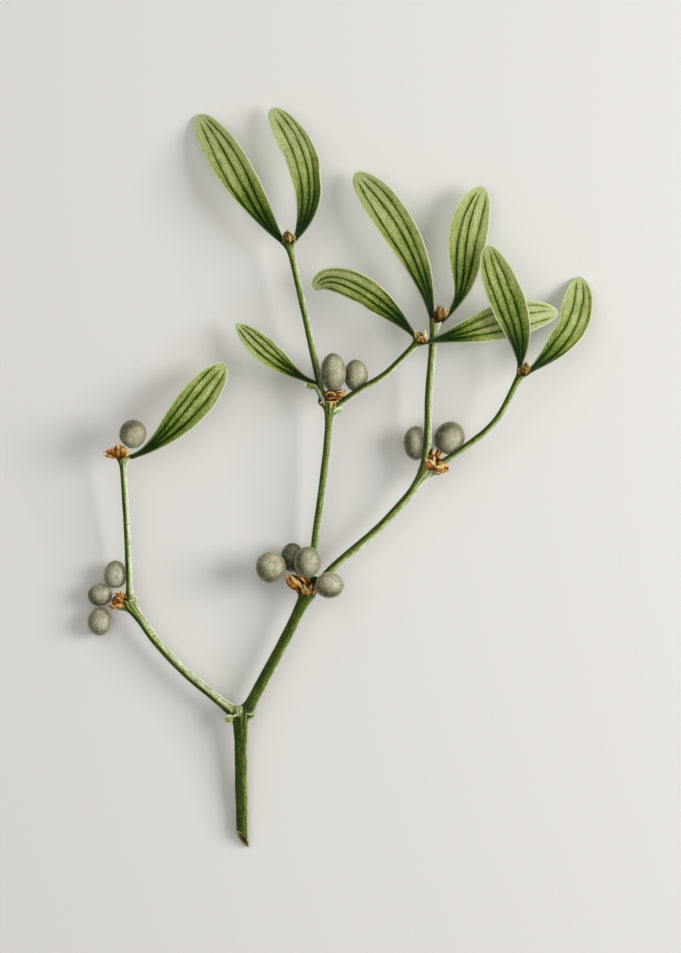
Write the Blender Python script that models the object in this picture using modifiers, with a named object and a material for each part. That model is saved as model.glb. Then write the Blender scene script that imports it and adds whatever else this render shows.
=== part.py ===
"""A cut mistletoe sprig, lying on a flat surface.

The sprig forks twice into jointed stems.  Each fork holds a ring of dry bracts with pale berries,
and each stem ends in a bud between two leathery leaves.  It lies in the XY plane with its cut end
at -Y and its leaf tips at +Y, and it touches the surface (z = 0) with the cut end, one berry and
the tips of two drooping leaves.  The origin is at the bottom centre of its bounding box.
"""
from math import pi, radians

import bmesh
import bpy
import numpy as np
from mathutils import Vector

MM = 0.001

# Driving dimensions, in millimetres.
LEAF_THICKNESS = 0.9
PETIOLE_HALF_WIDTH = 0.75
TIP_HALF_WIDTH = 0.45
CUT_POINT = Vector((-29.4, -109.0, 1.9))
CUT_DIRECTION = Vector((-0.62, -0.62, 0.48))

# How finely each kind of piece is divided.
STEM_POINT_SPACING = 5.0
STEM_ROUNDNESS = 2
LEAF_STEPS = 12
LEAF_STRIPS = 4
TIP_CROWDING = 0.65
MIDRIB_SAMPLES = 200
BERRY_GRID = (14, 8)
BUD_GRID = (10, 6)
COLLAR_GRID = (8, 5)
BRACT_SIDES = 12
WELD_DISTANCE = 0.01

# Stems: the route of the centre line, then the diameter at its start and at its end.
STEMS = {
    "main_stem": (((-29.3, -113.0, 1.65), (-29.8, -92.0, 3.6), (-29.9, -71.2, 6.4)), 3.6, 4.2),
    "left_lower_branch": (((-33.0, -69.7, 6.4), (-45.0, -59.8, 6.2), (-55.0, -49.5, 6.2),
                           (-62.9, -38.2, 6.6)), 3.0, 2.8),
    "left_upper_twig": (((-63.3, -35.9, 6.9), (-63.7, -24.0, 8.0), (-64.4, -10.0, 9.8),
                         (-65.3, 5.0, 11.6)), 2.1, 1.9),
    "right_lower_branch": (((-27.6, -69.3, 6.6), (-22.7, -60.0, 6.8), (-16.1, -47.5, 7.6),
                            (-10.6, -36.0, 8.6)), 3.6, 3.2),
    "centre_stem": (((-10.2, -35.0, 8.4), (-8.5, -25.5, 6.9), (-7.1, -15.0, 7.6), (-4.6, 4.0, 9.8),
                     (-3.1, 20.4, 11.8)), 2.3, 2.3),
    "right_middle_branch": (((-7.0, -32.8, 8.7), (-1.6, -26.6, 7.8), (11.0, -15.7, 8.6),
                             (20.4, -5.6, 9.6), (24.7, 1.0, 10.4)), 2.6, 2.7),
    "top_twig": (((-5.2, 23.4, 11.6), (-7.2, 32.5, 11.6), (-10.7, 49.0, 12.0),
                  (-15.3, 69.6, 12.2)), 2.1, 2.0),
    "upper_right_twig": (((-0.5, 22.0, 12.6), (6.0, 26.4, 13.8), (13.5, 31.0, 14.6),
                          (23.1, 40.4, 16.1)), 2.0, 1.9),
    "upright_twig": (((25.0, 2.3, 10.9), (26.1, 11.0, 11.4), (26.5, 25.0, 11.6),
                      (28.1, 45.5, 12.7)), 2.4, 2.3),
    "far_right_twig": (((27.8, 2.7, 10.7), (37.0, 8.8, 11.2), (46.6, 17.2, 13.0),
                        (54.0, 30.9, 14.9)), 2.0, 2.0),
    "side_spur": (((-6.6, 22.3, 10.4), (-7.7, 25.0, 9.8), (-9.2, 27.0, 9.8)), 1.6, 1.5),
}

# Leaves: the four control points of the midrib (a cubic Bezier), the greatest half width, where
# along the midrib that width lies, how slender the base is (0.5 full, 2 long and narrow), how
# pointed the tip is (0.5 round, 1 sharp) and how far the margins stand above the midrib.
LEAVES = {
    "top_leaf_left": (((-17.2, 70.4, 12.4), (-22.5, 76.5, 14.5), (-35.6, 98.9, 8.0),
                       (-43.2, 109.2, 0.4)), 5.5, 0.62, 0.85, 0.50, 0.9),
    "top_leaf_right": (((-13.6, 71.4, 12.6), (-6.5, 83.5, 15.0), (-9.0, 96.0, 12.0),
                        (-21.0, 111.0, 5.0)), 5.0, 0.60, 0.80, 0.50, 0.8),
    "upright_leaf_left": (((27.4, 46.8, 13.1), (26.0, 62.0, 16.0), (16.4, 79.0, 13.0),
                           (4.2, 91.5, 6.0)), 5.4, 0.67, 1.00, 0.50, 0.9),
    "upright_leaf_right": (((29.6, 46.1, 12.9), (42.6, 57.4, 12.0), (33.0, 68.0, 9.5),
                            (42.9, 87.4, 6.5)), 5.8, 0.66, 1.80, 0.53, 0.9),
    "inner_leaf_left": (((22.1, 42.4, 16.5), (12.0, 54.5, 18.0), (-5.0, 65.0, 14.0),
                         (-7.6, 56.2, 8.0)), 4.3, 0.55, 1.00, 0.50, 0.6),
    "inner_leaf_right": (((25.1, 40.5, 16.3), (36.0, 42.2, 15.0), (52.0, 49.4, 12.8),
                          (65.4, 49.3, 11.8)), 5.3, 0.62, 1.30, 0.60, 0.6),
    "far_leaf_left": (((53.6, 33.4, 15.4), (55.0, 46.0, 18.5), (47.6, 55.0, 18.5),
                       (44.0, 69.3, 13.5)), 5.3, 0.55, 0.90, 0.50, 0.9),
    "far_leaf_right": (((56.0, 31.4, 15.0), (65.0, 38.0, 15.0), (73.0, 46.5, 8.0),
                        (71.8, 60.4, 0.4)), 4.9, 0.60, 1.10, 0.50, 0.7),
    "spur_leaf": (((-8.9, 28.8, 11.4), (-16.0, 31.8, 12.5), (-24.0, 39.0, 11.0),
                   (-31.3, 46.2, 7.5)), 3.75, 0.58, 1.20, 0.75, 0.6),
    "left_leaf": (((-63.5, 6.0, 11.9), (-53.6, 8.4, 15.0), (-43.4, 23.2, 13.0),
                   (-34.7, 34.2, 8.5)), 5.3, 0.65, 1.40, 0.55, 0.8),
}

# Berries: centre, then half width, half length and half height, then the turn of the long axis.
BERRIES = {
    "left_tip_berry": ((-62.2, 13.0, 13.4), (4.2, 4.35, 4.2), 0.0),
    "left_fork_berry_inner": ((-67.6, -29.1, 4.4), (3.7, 4.2, 3.7), 0.0),
    "left_fork_berry_middle": ((-72.3, -35.3, 4.0), (3.8, 3.4, 3.6), 0.0),
    "left_fork_berry_outer": ((-72.4, -43.3, 3.8), (3.75, 4.3, 3.8), 0.0),
    "centre_fork_berry_left": ((-20.9, -27.0, 11.4), (4.65, 4.75, 4.5), 0.0),
    "centre_fork_berry_back": ((-14.4, -24.0, 6.0), (3.7, 4.4, 3.5), 0.0),
    "centre_fork_berry_front": ((-9.8, -25.3, 12.6), (4.15, 4.7, 4.1), 0.0),
    "centre_fork_berry_right": ((-3.2, -32.3, 13.2), (4.4, 3.95, 4.0), 0.0),
    "upper_fork_berry_front": ((-2.2, 31.7, 14.2), (3.95, 5.6, 3.9), 0.0),
    "upper_fork_berry_back": ((4.6, 30.6, 10.2), (3.7, 4.8, 3.6), 0.0),
    "right_fork_berry_left": ((22.8, 10.3, 6.9), (4.0, 5.2, 3.9), 0.0),
    "right_fork_berry_right": ((32.7, 11.8, 7.4), (4.6, 5.2, 4.2), -28.0),
}

# Bract cups: the centre of the foot and of the mouth, then the radius at each.
BRACTS = {
    "left_fork_bracts": ((-65.0, -37.6, 6.4), (-68.0, -37.4, 5.6), 1.4, 2.4),
    "left_tip_bracts": ((-65.9, 5.7, 11.9), (-67.0, 8.0, 12.5), 1.0, 2.3),
    "centre_fork_bracts": ((-12.9, -34.0, 9.6), (-14.2, -30.4, 9.8), 1.5, 2.4),
    "upper_fork_bracts": ((-2.4, 23.0, 12.6), (-2.3, 25.6, 13.4), 1.0, 2.2),
    "right_fork_bracts": ((27.0, 1.0, 8.4), (29.4, 2.4, 7.6), 1.2, 2.2),
}

# Buds and collar scales: centre, then the three half sizes, then the turn of the long axis.
BUDS = {
    "top_bud": ((-15.7, 72.2, 13.8), (1.3, 1.9, 1.2), 0.0),
    "inner_bud": ((24.0, 42.6, 17.0), (1.2, 1.8, 1.2), 0.0),
    "upright_bud": ((29.5, 49.2, 14.8), (1.2, 2.4, 1.1), 0.0),
    "far_bud": ((55.2, 33.0, 16.7), (1.1, 1.8, 1.1), -20.0),
}
COLLAR_SCALES = {
    "base_collar_left": ((-33.6, -72.6, 6.6), (1.3, 1.1, 1.0), 0.0),
    "base_collar_middle": ((-30.4, -69.2, 7.6), (1.0, 0.9, 0.9), 0.0),
    "base_collar_right": ((-25.8, -71.3, 7.2), (1.4, 0.8, 1.0), 0.0),
    "left_fork_collar": ((-61.1, -36.0, 7.4), (1.0, 1.0, 0.9), 0.0),
    "upper_fork_collar": ((-0.5, 20.2, 12.0), (1.2, 0.9, 0.9), 0.0),
    "spur_collar": ((-10.4, 28.0, 9.7), (0.9, 0.9, 0.8), 0.0),
}

# Finish of each kind of piece: base colour and roughness.
FINISHES = {
    "stem": ((0.13, 0.19, 0.045), 0.55),
    "leaf": ((0.19, 0.26, 0.06), 0.45),
    "berry": ((0.52, 0.52, 0.42), 0.35),
    "bract": ((0.42, 0.20, 0.04), 0.75),
    "scale": ((0.36, 0.42, 0.20), 0.65),
}


def clear_scene():
    for existing in list(bpy.data.objects):
        bpy.data.objects.remove(existing, do_unlink=True)


def finish(piece, kind):
    """Give the piece a Principled material of its own in the colours of its kind."""
    colour, roughness = FINISHES[kind]
    material = bpy.data.materials.new(piece.name + "_finish")
    material.use_nodes = True
    shader = material.node_tree.nodes["Principled BSDF"]
    shader.inputs["Base Color"].default_value = (*colour, 1.0)
    shader.inputs["Roughness"].default_value = roughness
    shader.inputs["Metallic"].default_value = 0.0
    piece.data.materials.append(material)


def place(name, data, kind, sprig, origin):
    """Add the piece to the sprig's collection, under its origin."""
    piece = bpy.data.objects.new(name, data)
    sprig.objects.link(piece)
    piece.parent = origin
    finish(piece, kind)
    return piece


def smooth_route(points, spacing):
    """Points along a Catmull-Rom curve through the route's own points, in metres."""
    route = np.array(points, dtype=float)
    route = np.vstack([2 * route[0] - route[1], route, 2 * route[-1] - route[-2]])
    samples = []
    for before, start, end, after in zip(route, route[1:], route[2:], route[3:]):
        count = max(2, round(np.linalg.norm(end - start) / spacing))
        for t in np.arange(count) / count:
            samples.append(0.5 * (2 * start + (end - before) * t
                                  + (2 * before - 5 * start + 4 * end - after) * t ** 2
                                  + (3 * start - before - 3 * end + after) * t ** 3))
    samples.append(route[-2])
    return np.array(samples) * MM


def add_stem(name, route, first_diameter, last_diameter, sprig, origin):
    """A round stem along a smooth route, tapering evenly between its two diameters."""
    points = smooth_route(route, STEM_POINT_SPACING)
    curve = bpy.data.curves.new(name, "CURVE")
    curve.dimensions = "3D"
    curve.bevel_depth = MM
    curve.bevel_resolution = STEM_ROUNDNESS
    curve.use_fill_caps = True
    spline = curve.splines.new("POLY")
    spline.points.add(len(points) - 1)
    radii = np.linspace(first_diameter, last_diameter, len(points)) / 2
    for point, position, radius in zip(spline.points, points, radii):
        point.co = (*position, 1.0)
        point.radius = radius
    return place(name, curve, "stem", sprig, origin)


def cut_end(stem, sprig, origin):
    """Turn a stem into a mesh and slice its lower end off along the slanted knife cut."""
    bpy.context.view_layer.update()
    evaluated = stem.evaluated_get(bpy.context.evaluated_depsgraph_get())
    mesh = bpy.data.meshes.new_from_object(evaluated)
    name = stem.name
    bpy.data.objects.remove(stem, do_unlink=True)
    bm = bmesh.new()
    bm.from_mesh(mesh)
    bmesh.ops.remove_doubles(bm, verts=bm.verts, dist=WELD_DISTANCE * MM)
    cut = bmesh.ops.bisect_plane(bm, geom=bm.verts[:] + bm.edges[:] + bm.faces[:],
                                 plane_co=CUT_POINT * MM, plane_no=CUT_DIRECTION, clear_outer=True)
    rim = [item for item in cut["geom_cut"] if isinstance(item, bmesh.types.BMEdge)]
    bmesh.ops.edgeloop_fill(bm, edges=rim)
    bmesh.ops.recalc_face_normals(bm, faces=bm.faces)
    bm.to_mesh(mesh)
    bm.free()
    mesh.materials.clear()
    return place(name, mesh, "stem", sprig, origin)


def midrib_frame(controls, t):
    """Midrib points at the shares t of its length, with their side and upward directions."""
    controls = np.array(controls, dtype=float)
    u = np.linspace(0, 1, MIDRIB_SAMPLES)[:, None]
    curve = ((1 - u) ** 3 * controls[0] + 3 * (1 - u) ** 2 * u * controls[1]
             + 3 * (1 - u) * u ** 2 * controls[2] + u ** 3 * controls[3])
    along = np.gradient(curve, axis=0)
    length = np.concatenate([[0], np.cumsum(np.linalg.norm(np.diff(curve, axis=0), axis=1))])
    points = np.stack([np.interp(t * length[-1], length, column) for column in curve.T], axis=1)
    along = np.stack([np.interp(t * length[-1], length, column) for column in along.T], axis=1)
    along /= np.linalg.norm(along, axis=1)[:, None]
    side = np.cross((0, 0, 1), along)
    side /= np.linalg.norm(side, axis=1)[:, None]
    return points, side, np.cross(along, side)


def half_width(t, widest, peak, slender, pointed):
    """Half the blade's width: a sine up to the peak and an ellipse down to the tip, each raised
    to a power, on the narrow petiole."""
    below = np.clip(t / peak, 0, 1)
    beyond = np.clip((t - peak) / (1 - peak), 0, 1)
    blade = widest * np.sin(pi / 2 * below) ** slender * (1 - beyond ** 2) ** pointed
    least = PETIOLE_HALF_WIDTH + (TIP_HALF_WIDTH - PETIOLE_HALF_WIDTH) * t
    return np.hypot(blade, least)


def add_leaf(name, shape, sprig, origin):
    """A flat grid bent along the midrib and cupped across it, thickened by Solidify."""
    controls, widest, peak, slender, pointed, cup = shape
    rows = np.arange(LEAF_STEPS + 1) / LEAF_STEPS
    rows = rows * (1 + TIP_CROWDING - TIP_CROWDING * rows)
    points, side, up = midrib_frame(controls, rows)
    reach = half_width(rows, widest, peak, slender, pointed)
    bm = bmesh.new()
    bmesh.ops.create_grid(bm, x_segments=LEAF_STEPS, y_segments=LEAF_STRIPS, size=1.0)
    for vertex in bm.verts:
        row = round((vertex.co.x + 1) / 2 * LEAF_STEPS)
        v = vertex.co.y
        lift = cup * (v * reach[row] / widest) ** 2
        vertex.co = (points[row] + v * reach[row] * side[row] + lift * up[row]) * MM
    bmesh.ops.recalc_face_normals(bm, faces=bm.faces)
    mesh = bpy.data.meshes.new(name)
    bm.to_mesh(mesh)
    bm.free()
    leaf = place(name, mesh, "leaf", sprig, origin)
    solid = leaf.modifiers.new("thickness", "SOLIDIFY")
    solid.thickness = LEAF_THICKNESS * MM
    solid.offset = 0.0
    mesh.shade_smooth()
    return leaf


def add_ovoid(name, shape, grid, kind, sprig, origin):
    """An ellipsoid with three half sizes, turned about the vertical."""
    centre, halves, turn = shape
    bm = bmesh.new()
    bmesh.ops.create_uvsphere(bm, u_segments=grid[0], v_segments=grid[1], radius=1.0)
    bmesh.ops.scale(bm, vec=Vector(halves) * MM, verts=bm.verts)
    mesh = bpy.data.meshes.new(name)
    bm.to_mesh(mesh)
    bm.free()
    mesh.shade_smooth()
    piece = place(name, mesh, kind, sprig, origin)
    piece.location = Vector(centre) * MM
    piece.rotation_euler = (0.0, 0.0, radians(turn))
    return piece


def add_bracts(name, shape, sprig, origin):
    """The outer shape of a ring of bracts: a short cone that widens from foot to mouth."""
    foot, mouth, foot_radius, mouth_radius = shape
    foot = Vector(foot)
    axis = Vector(mouth) - foot
    bm = bmesh.new()
    bmesh.ops.create_cone(bm, cap_ends=True, segments=BRACT_SIDES, radius1=foot_radius * MM,
                          radius2=mouth_radius * MM, depth=axis.length * MM)
    mesh = bpy.data.meshes.new(name)
    bm.to_mesh(mesh)
    bm.free()
    piece = place(name, mesh, "bract", sprig, origin)
    piece.location = (foot + axis / 2) * MM
    piece.rotation_euler = axis.to_track_quat("Z", "Y").to_euler()
    return piece


def build():
    clear_scene()
    sprig = bpy.data.collections.new("mistletoe_bunch")
    bpy.context.scene.collection.children.link(sprig)
    origin = bpy.data.objects.new("sprig_origin", None)
    sprig.objects.link(origin)

    for name, (route, first, last) in STEMS.items():
        stem = add_stem(name, route, first, last, sprig, origin)
        if name == "main_stem":
            cut_end(stem, sprig, origin)
    for name, shape in LEAVES.items():
        add_leaf(name, shape, sprig, origin)
    for name, shape in BERRIES.items():
        add_ovoid(name, shape, BERRY_GRID, "berry", sprig, origin)
    for name, shape in BUDS.items():
        add_ovoid(name, shape, BUD_GRID, "bract", sprig, origin)
    for name, shape in COLLAR_SCALES.items():
        add_ovoid(name, shape, COLLAR_GRID, "scale", sprig, origin)
    for name, shape in BRACTS.items():
        add_bracts(name, shape, sprig, origin)


build()
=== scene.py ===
import bpy
import numpy as np
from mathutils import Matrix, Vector


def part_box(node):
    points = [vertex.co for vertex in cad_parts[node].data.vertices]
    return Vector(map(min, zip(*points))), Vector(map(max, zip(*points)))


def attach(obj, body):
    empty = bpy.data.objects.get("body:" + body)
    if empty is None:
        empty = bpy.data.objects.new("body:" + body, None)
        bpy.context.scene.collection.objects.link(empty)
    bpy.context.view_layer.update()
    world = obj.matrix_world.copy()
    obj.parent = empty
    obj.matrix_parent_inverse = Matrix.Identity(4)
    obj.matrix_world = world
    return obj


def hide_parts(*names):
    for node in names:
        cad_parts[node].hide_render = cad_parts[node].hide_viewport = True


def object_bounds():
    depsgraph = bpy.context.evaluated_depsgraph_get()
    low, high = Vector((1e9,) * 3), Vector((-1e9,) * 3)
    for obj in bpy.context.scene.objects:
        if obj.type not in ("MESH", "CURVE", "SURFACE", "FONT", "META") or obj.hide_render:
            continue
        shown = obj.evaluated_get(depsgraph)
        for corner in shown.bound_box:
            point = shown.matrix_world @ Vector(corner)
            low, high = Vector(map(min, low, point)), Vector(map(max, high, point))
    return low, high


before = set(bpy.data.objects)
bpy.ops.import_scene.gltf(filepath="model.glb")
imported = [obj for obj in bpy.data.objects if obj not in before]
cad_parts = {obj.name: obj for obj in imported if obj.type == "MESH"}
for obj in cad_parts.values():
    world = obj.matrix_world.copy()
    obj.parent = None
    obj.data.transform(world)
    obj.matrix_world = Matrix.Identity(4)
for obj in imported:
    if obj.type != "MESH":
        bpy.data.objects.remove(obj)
cadLow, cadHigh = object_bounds()
mm = 0.001
zUp = np.array([0.0, 0.0, 1.0])
print("frame loaded:", len(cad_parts), "CAD nodes")


# maths shared by all pieces; lengths are in mm until a mesh is made

def unit(vectors):
    # every vector divided by its own length
    return vectors / np.linalg.norm(vectors, axis=-1, keepdims=True)


def smoothStep(low, high, values):
    # 3s^2 - 2s^3 between low and high, flat outside them
    s = np.clip((values - low) / (high - low), 0, 1)
    return s * s * (3 - 2 * s)


def bell(values, reach):
    # exp(-(value / reach)^2)
    return np.exp(-((values / reach) ** 2))


def wobble(values, seed):
    # a slow uneven wave: three sines with unrelated periods, about -1 to 1
    first = np.sin(1.7 * values + seed)
    second = 0.6 * np.sin(3.1 * values + 2.3 * seed)
    third = 0.4 * np.sin(5.3 * values + 4.1 * seed)
    return (first + second + third) / 1.6


def bezierLine(corners):
    # cubic Bezier: (1-t)^3 A + 3(1-t)^2 t B + 3(1-t) t^2 C + t^3 D
    t = np.linspace(0, 1, 400)[:, None]
    a, b, c, d = np.array(corners, float)
    return (1 - t) ** 3 * a + 3 * (1 - t) ** 2 * t * b + 3 * (1 - t) * t**2 * c + t**3 * d


def splineLine(route):
    # Catmull-Rom through the route's points, with a mirrored point beyond each end
    p = np.array(route, float)
    p = np.concatenate([[2 * p[0] - p[1]], p, [2 * p[-1] - p[-2]]])
    t = np.linspace(0, 1, 60, endpoint=False)[:, None]
    spans = []
    for a, b, c, d in zip(p[:-3], p[1:-2], p[2:-1], p[3:]):
        bend = (2 * a - 5 * b + 4 * c - d) * t**2 + (3 * b - a - 3 * c + d) * t**3
        spans.append(0.5 * (2 * b + (c - a) * t + bend))
    return np.concatenate(spans + [p[-2:-1]])


def lineLength(line):
    # the sum of its steps
    return np.linalg.norm(np.diff(line, axis=0), axis=1).sum()


def alongLine(line, shares):
    # points at those shares of a line's length; a share outside 0 to 1 runs straight on
    steps = np.linalg.norm(np.diff(line, axis=0), axis=1)
    reached = np.concatenate([[0], np.cumsum(steps)])
    wanted = shares * reached[-1]
    inside = np.clip(wanted, 0, reached[-1])
    points = np.stack([np.interp(inside, reached, line[:, k]) for k in range(3)], -1)
    before = np.minimum(wanted, 0)[:, None] * unit(line[1] - line[0])
    after = np.maximum(wanted - reached[-1], 0)[:, None] * unit(line[-1] - line[-2])
    return points + before + after


def frameAlong(points, above=zUp):
    # way = direction of travel, side = above x way, up = way x side
    way = unit(np.gradient(points, axis=0))
    side = unit(np.cross(above, way))
    return way, side, np.cross(way, side)


def swept(middle, side, up, across, lift):
    # a ring for each point of a line: point = middle + across side + lift up
    return middle[:, None, :] + across[..., None] * side[:, None, :] + lift[..., None] * up[:, None, :]


def globeRays(pole, across, p, a):
    # cos p pole + sin p (cos a across + sin a over), with over = pole x across
    ring = np.cos(a)[..., None] * across + np.sin(a)[..., None] * np.cross(pole, across)
    return np.cos(p)[..., None] * pole + np.sin(p)[..., None] * ring


def around(count):
    # that many angles round a full turn
    return np.linspace(0, 2 * np.pi, count, endpoint=False)


def nodeBox(node):
    # the CAD node's lowest and highest corner, in mm
    low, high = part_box(node)
    return np.array(low) / mm, np.array(high) / mm


def nodeMiddle(node):
    # halfway between those corners
    low, high = nodeBox(node)
    return (low + high) / 2


def nodeFit(plain, node):
    # the stretch and shift along X, Y and Z that bring a plain shape onto the CAD node's box
    low, high = nodeBox(node)
    plainLow = plain.reshape(-1, 3).min(0)
    plainHigh = plain.reshape(-1, 3).max(0)
    stretch = (high - low) / (plainHigh - plainLow)
    return stretch, low - plainLow * stretch


# meshes: a skin is a grid of closed rings, and a piece is one or more skins

def makeSkin(grid, marks, along=None):
    # quads join each ring to the next, and a fan of triangles closes each end at its middle;
    # the UV map has u round the ring and v along the rows
    rows, columns = grid.shape[:2]
    count = rows * columns
    ring = np.arange(columns)
    nextOne = np.roll(ring, -1)
    row = np.arange(rows - 1)[:, None] * columns
    quads = np.stack([row + ring, row + nextOne, row + nextOne + columns, row + ring + columns], -1)
    last = count - columns
    foot = np.stack([np.full(columns, count), nextOne, ring], -1)
    tip = np.stack([np.full(columns, count + 1), last + ring, last + nextOne], -1)
    u = ring / columns
    right = u + 1 / columns
    half = u + 0.5 / columns
    v = np.linspace(0, 1, rows) if along is None else along
    low, high = v[:-1, None], v[1:, None]
    quadUv = np.stack(np.broadcast_arrays(u, low, right, low, right, high, u, high), -1)
    footUv = np.stack(np.broadcast_arrays(half, v[0], right, v[0], u, v[0]), -1)
    tipUv = np.stack(np.broadcast_arrays(half, v[-1], u, v[-1], right, v[-1]), -1)
    ends = np.stack([grid[0].mean(0), grid[-1].mean(0)])
    values = {}
    for name, value in marks.items():
        value = np.broadcast_to(value, (rows, columns))
        values[name] = np.concatenate([value.ravel(), [value[0].mean(), value[-1].mean()]])
    return {
        "points": np.concatenate([grid.reshape(-1, 3), ends]),
        "quads": quads.reshape(-1, 4),
        "fans": np.concatenate([foot, tip]),
        "quadUv": quadUv.reshape(-1, 2),
        "fanUv": np.concatenate([footUv, tipUv]).reshape(-1, 2),
        "marks": values,
    }


def makePiece(node, skins, material):
    # joins the skins into one mesh in metres, with its marks and its own UV map, in place of the CAD node
    first, *rest = node.split("_")
    name = first + "".join(word.capitalize() for word in rest)  # top_leaf_left becomes topLeafLeft
    starts = np.cumsum([0] + [len(s["points"]) for s in skins[:-1]])
    quads = np.concatenate([s["quads"] + k for s, k in zip(skins, starts)])
    fans = np.concatenate([s["fans"] + k for s, k in zip(skins, starts)])
    points = np.concatenate([s["points"] for s in skins]) * mm
    mesh = bpy.data.meshes.new(name)
    mesh.from_pydata(points.tolist(), [], quads.tolist() + fans.tolist())
    uv = np.concatenate([s["quadUv"] for s in skins] + [s["fanUv"] for s in skins])
    mesh.uv_layers.new(name="surface").data.foreach_set("uv", uv.astype(np.float32).ravel())
    for mark in skins[0]["marks"]:
        value = np.concatenate([s["marks"][mark] for s in skins]).astype(np.float32)
        mesh.attributes.new(mark, "FLOAT", "POINT").data.foreach_set("value", value)
    mesh.polygons.foreach_set("use_smooth", np.ones(len(mesh.polygons), bool))
    mesh.update()
    mesh.materials.append(material)
    piece = bpy.data.objects.new(name, mesh)
    bpy.context.scene.collection.objects.link(piece)
    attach(piece, "root")
    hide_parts(node)


# shader nodes

def colour(red, green, blue):
    # a colour picked in sRGB 0 to 255, as the linear numbers that shaders take
    c = np.array([red, green, blue]) / 255
    linear = np.where(c <= 0.04045, c / 12.92, ((c + 0.055) / 1.055) ** 2.4)
    return (*linear.tolist(), 1.0)


def addNode(tree, kind, inputs, **settings):
    # a shader node with its settings, each input linked to a socket or given a value
    made = tree.nodes.new(kind)
    for name, value in settings.items():
        setattr(made, name, value)
    for key, value in inputs.items():
        if isinstance(value, bpy.types.NodeSocket):
            tree.links.new(value, made.inputs[key])
        else:
            made.inputs[key].default_value = value
    return made


def blend(tree, share, first, second):
    # share 0 gives first, 1 gives second
    return addNode(tree, "ShaderNodeMix", {0: share, 6: first, 7: second}, data_type="RGBA").outputs[2]


def maths(tree, operation, first, second):
    return addNode(tree, "ShaderNodeMath", {0: first, 1: second}, operation=operation).outputs[0]


def spread(tree, value, low, high, newLow=0.0, newHigh=1.0):
    # a smooth step from newLow to newHigh while the value goes from low to high
    inputs = {"Value": value, "From Min": low, "From Max": high, "To Min": newLow, "To Max": newHigh}
    return addNode(tree, "ShaderNodeMapRange", inputs, interpolation_type="SMOOTHSTEP").outputs[0]


def stirred(tree, value, patterns):
    # each pattern is added to the value, from its least at low to its most at high
    for pattern, low, high, least, most in patterns:
        value = maths(tree, "ADD", value, spread(tree, pattern, low, high, least, most))
    return value


def flecked(tree, base, colours, flecks):
    # each fleck's colour is laid over the base where its pattern goes from low to high, up to its share
    for pattern, low, high, share, name in flecks:
        base = blend(tree, spread(tree, pattern, low, high, 0, share), base, colours[name])
    return base


def ramp(tree, value, colours, stops):
    # colours by name at rising places of a value
    made = addNode(tree, "ShaderNodeValToRGB", {0: value})
    points = made.color_ramp.elements
    while len(points) < len(stops):
        points.new(0.5)
    for point, (place, name) in zip(points, stops):
        point.position = place
        point.color = colours[name]
    return made.outputs[0]


def markOf(tree, name):
    # one of the numbers that a piece's points carry
    return addNode(tree, "ShaderNodeAttribute", {}, attribute_name=name).outputs["Fac"]


def noise(tree, scale, detail, roughness, stretch=(1, 1, 1), source="Object"):
    # an uneven pattern about 0.5, with scale per metre, or over the UV map where that is the source
    where = addNode(tree, "ShaderNodeTexCoord", {}).outputs[source]
    turned = addNode(tree, "ShaderNodeMapping", {"Vector": where, "Scale": stretch}).outputs[0]
    inputs = {"Vector": turned, "Scale": scale, "Detail": detail, "Roughness": roughness}
    return addNode(tree, "ShaderNodeTexNoise", inputs).outputs[0]


def bumpOf(tree, height, strength, distance, under=None):
    # a normal bent by a height of that many mm, on top of another bend if there is one
    inputs = {"Height": height, "Strength": strength, "Distance": distance * mm}
    if under is not None:
        inputs["Normal"] = under
    return addNode(tree, "ShaderNodeBump", inputs).outputs[0]


def newFinish(name, settings):
    # a material with those settings on its main shader
    material = bpy.data.materials.new(name)
    material.use_nodes = True
    shader = material.node_tree.nodes["Principled BSDF"]
    for key, value in settings.items():
        shader.inputs[key].default_value = value
    return material, material.node_tree


def linkFinish(tree, base, roughness, normal):
    # what varies over the surface goes into the main shader
    shader = tree.nodes["Principled BSDF"]
    for name, socket in {"Base Color": base, "Roughness": roughness, "Normal": normal}.items():
        tree.links.new(socket, shader.inputs[name])


# camera, floor and lights

cameraValues = {
    "lens": 300.0,  # long, so there is hardly any perspective
    "sensor": 36.0,
    "farClip": 50.0,
    "seenShare": 1.2832,  # height of the view over the sprig's length
    "nudge": (0.05, 0.32),  # mm of the view's middle from the sprig's middle
    "plane": 10.0,  # mm up from the floor to the plane that the view is measured on
}
floorValues = {
    "size": 6.0,
    "colour": colour(226, 224, 219),
    "roughness": 0.85,
}
lightValues = {
    "key": {"place": (0.85, 0.10, 0.62), "size": (0.50, 0.60), "power": 9.0},
    "top": {"place": (-0.25, 0.20, 1.30), "size": (1.10, 1.10), "power": 4.5},
}
worldValues = {"Color": (1.0, 0.99, 0.97, 1.0), "Strength": 0.34}

cadMiddle = (cadLow + cadHigh) / 2
seenHeight = (cadHigh.y - cadLow.y) * cameraValues["seenShare"]
distance = seenHeight * cameraValues["lens"] / cameraValues["sensor"]
nudgeX, nudgeY = cameraValues["nudge"]
plane = cadLow.z + cameraValues["plane"] * mm
camera = bpy.data.objects.new("camera", bpy.data.cameras.new("camera"))
camera.data.lens = cameraValues["lens"]
camera.data.sensor_width = cameraValues["sensor"]
camera.data.clip_end = cameraValues["farClip"]
camera.location = (cadMiddle.x + nudgeX * mm, cadMiddle.y + nudgeY * mm, plane + distance)
bpy.context.scene.collection.objects.link(camera)
bpy.context.scene.camera = camera
bpy.context.scene.view_settings.view_transform = "Standard"

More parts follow.
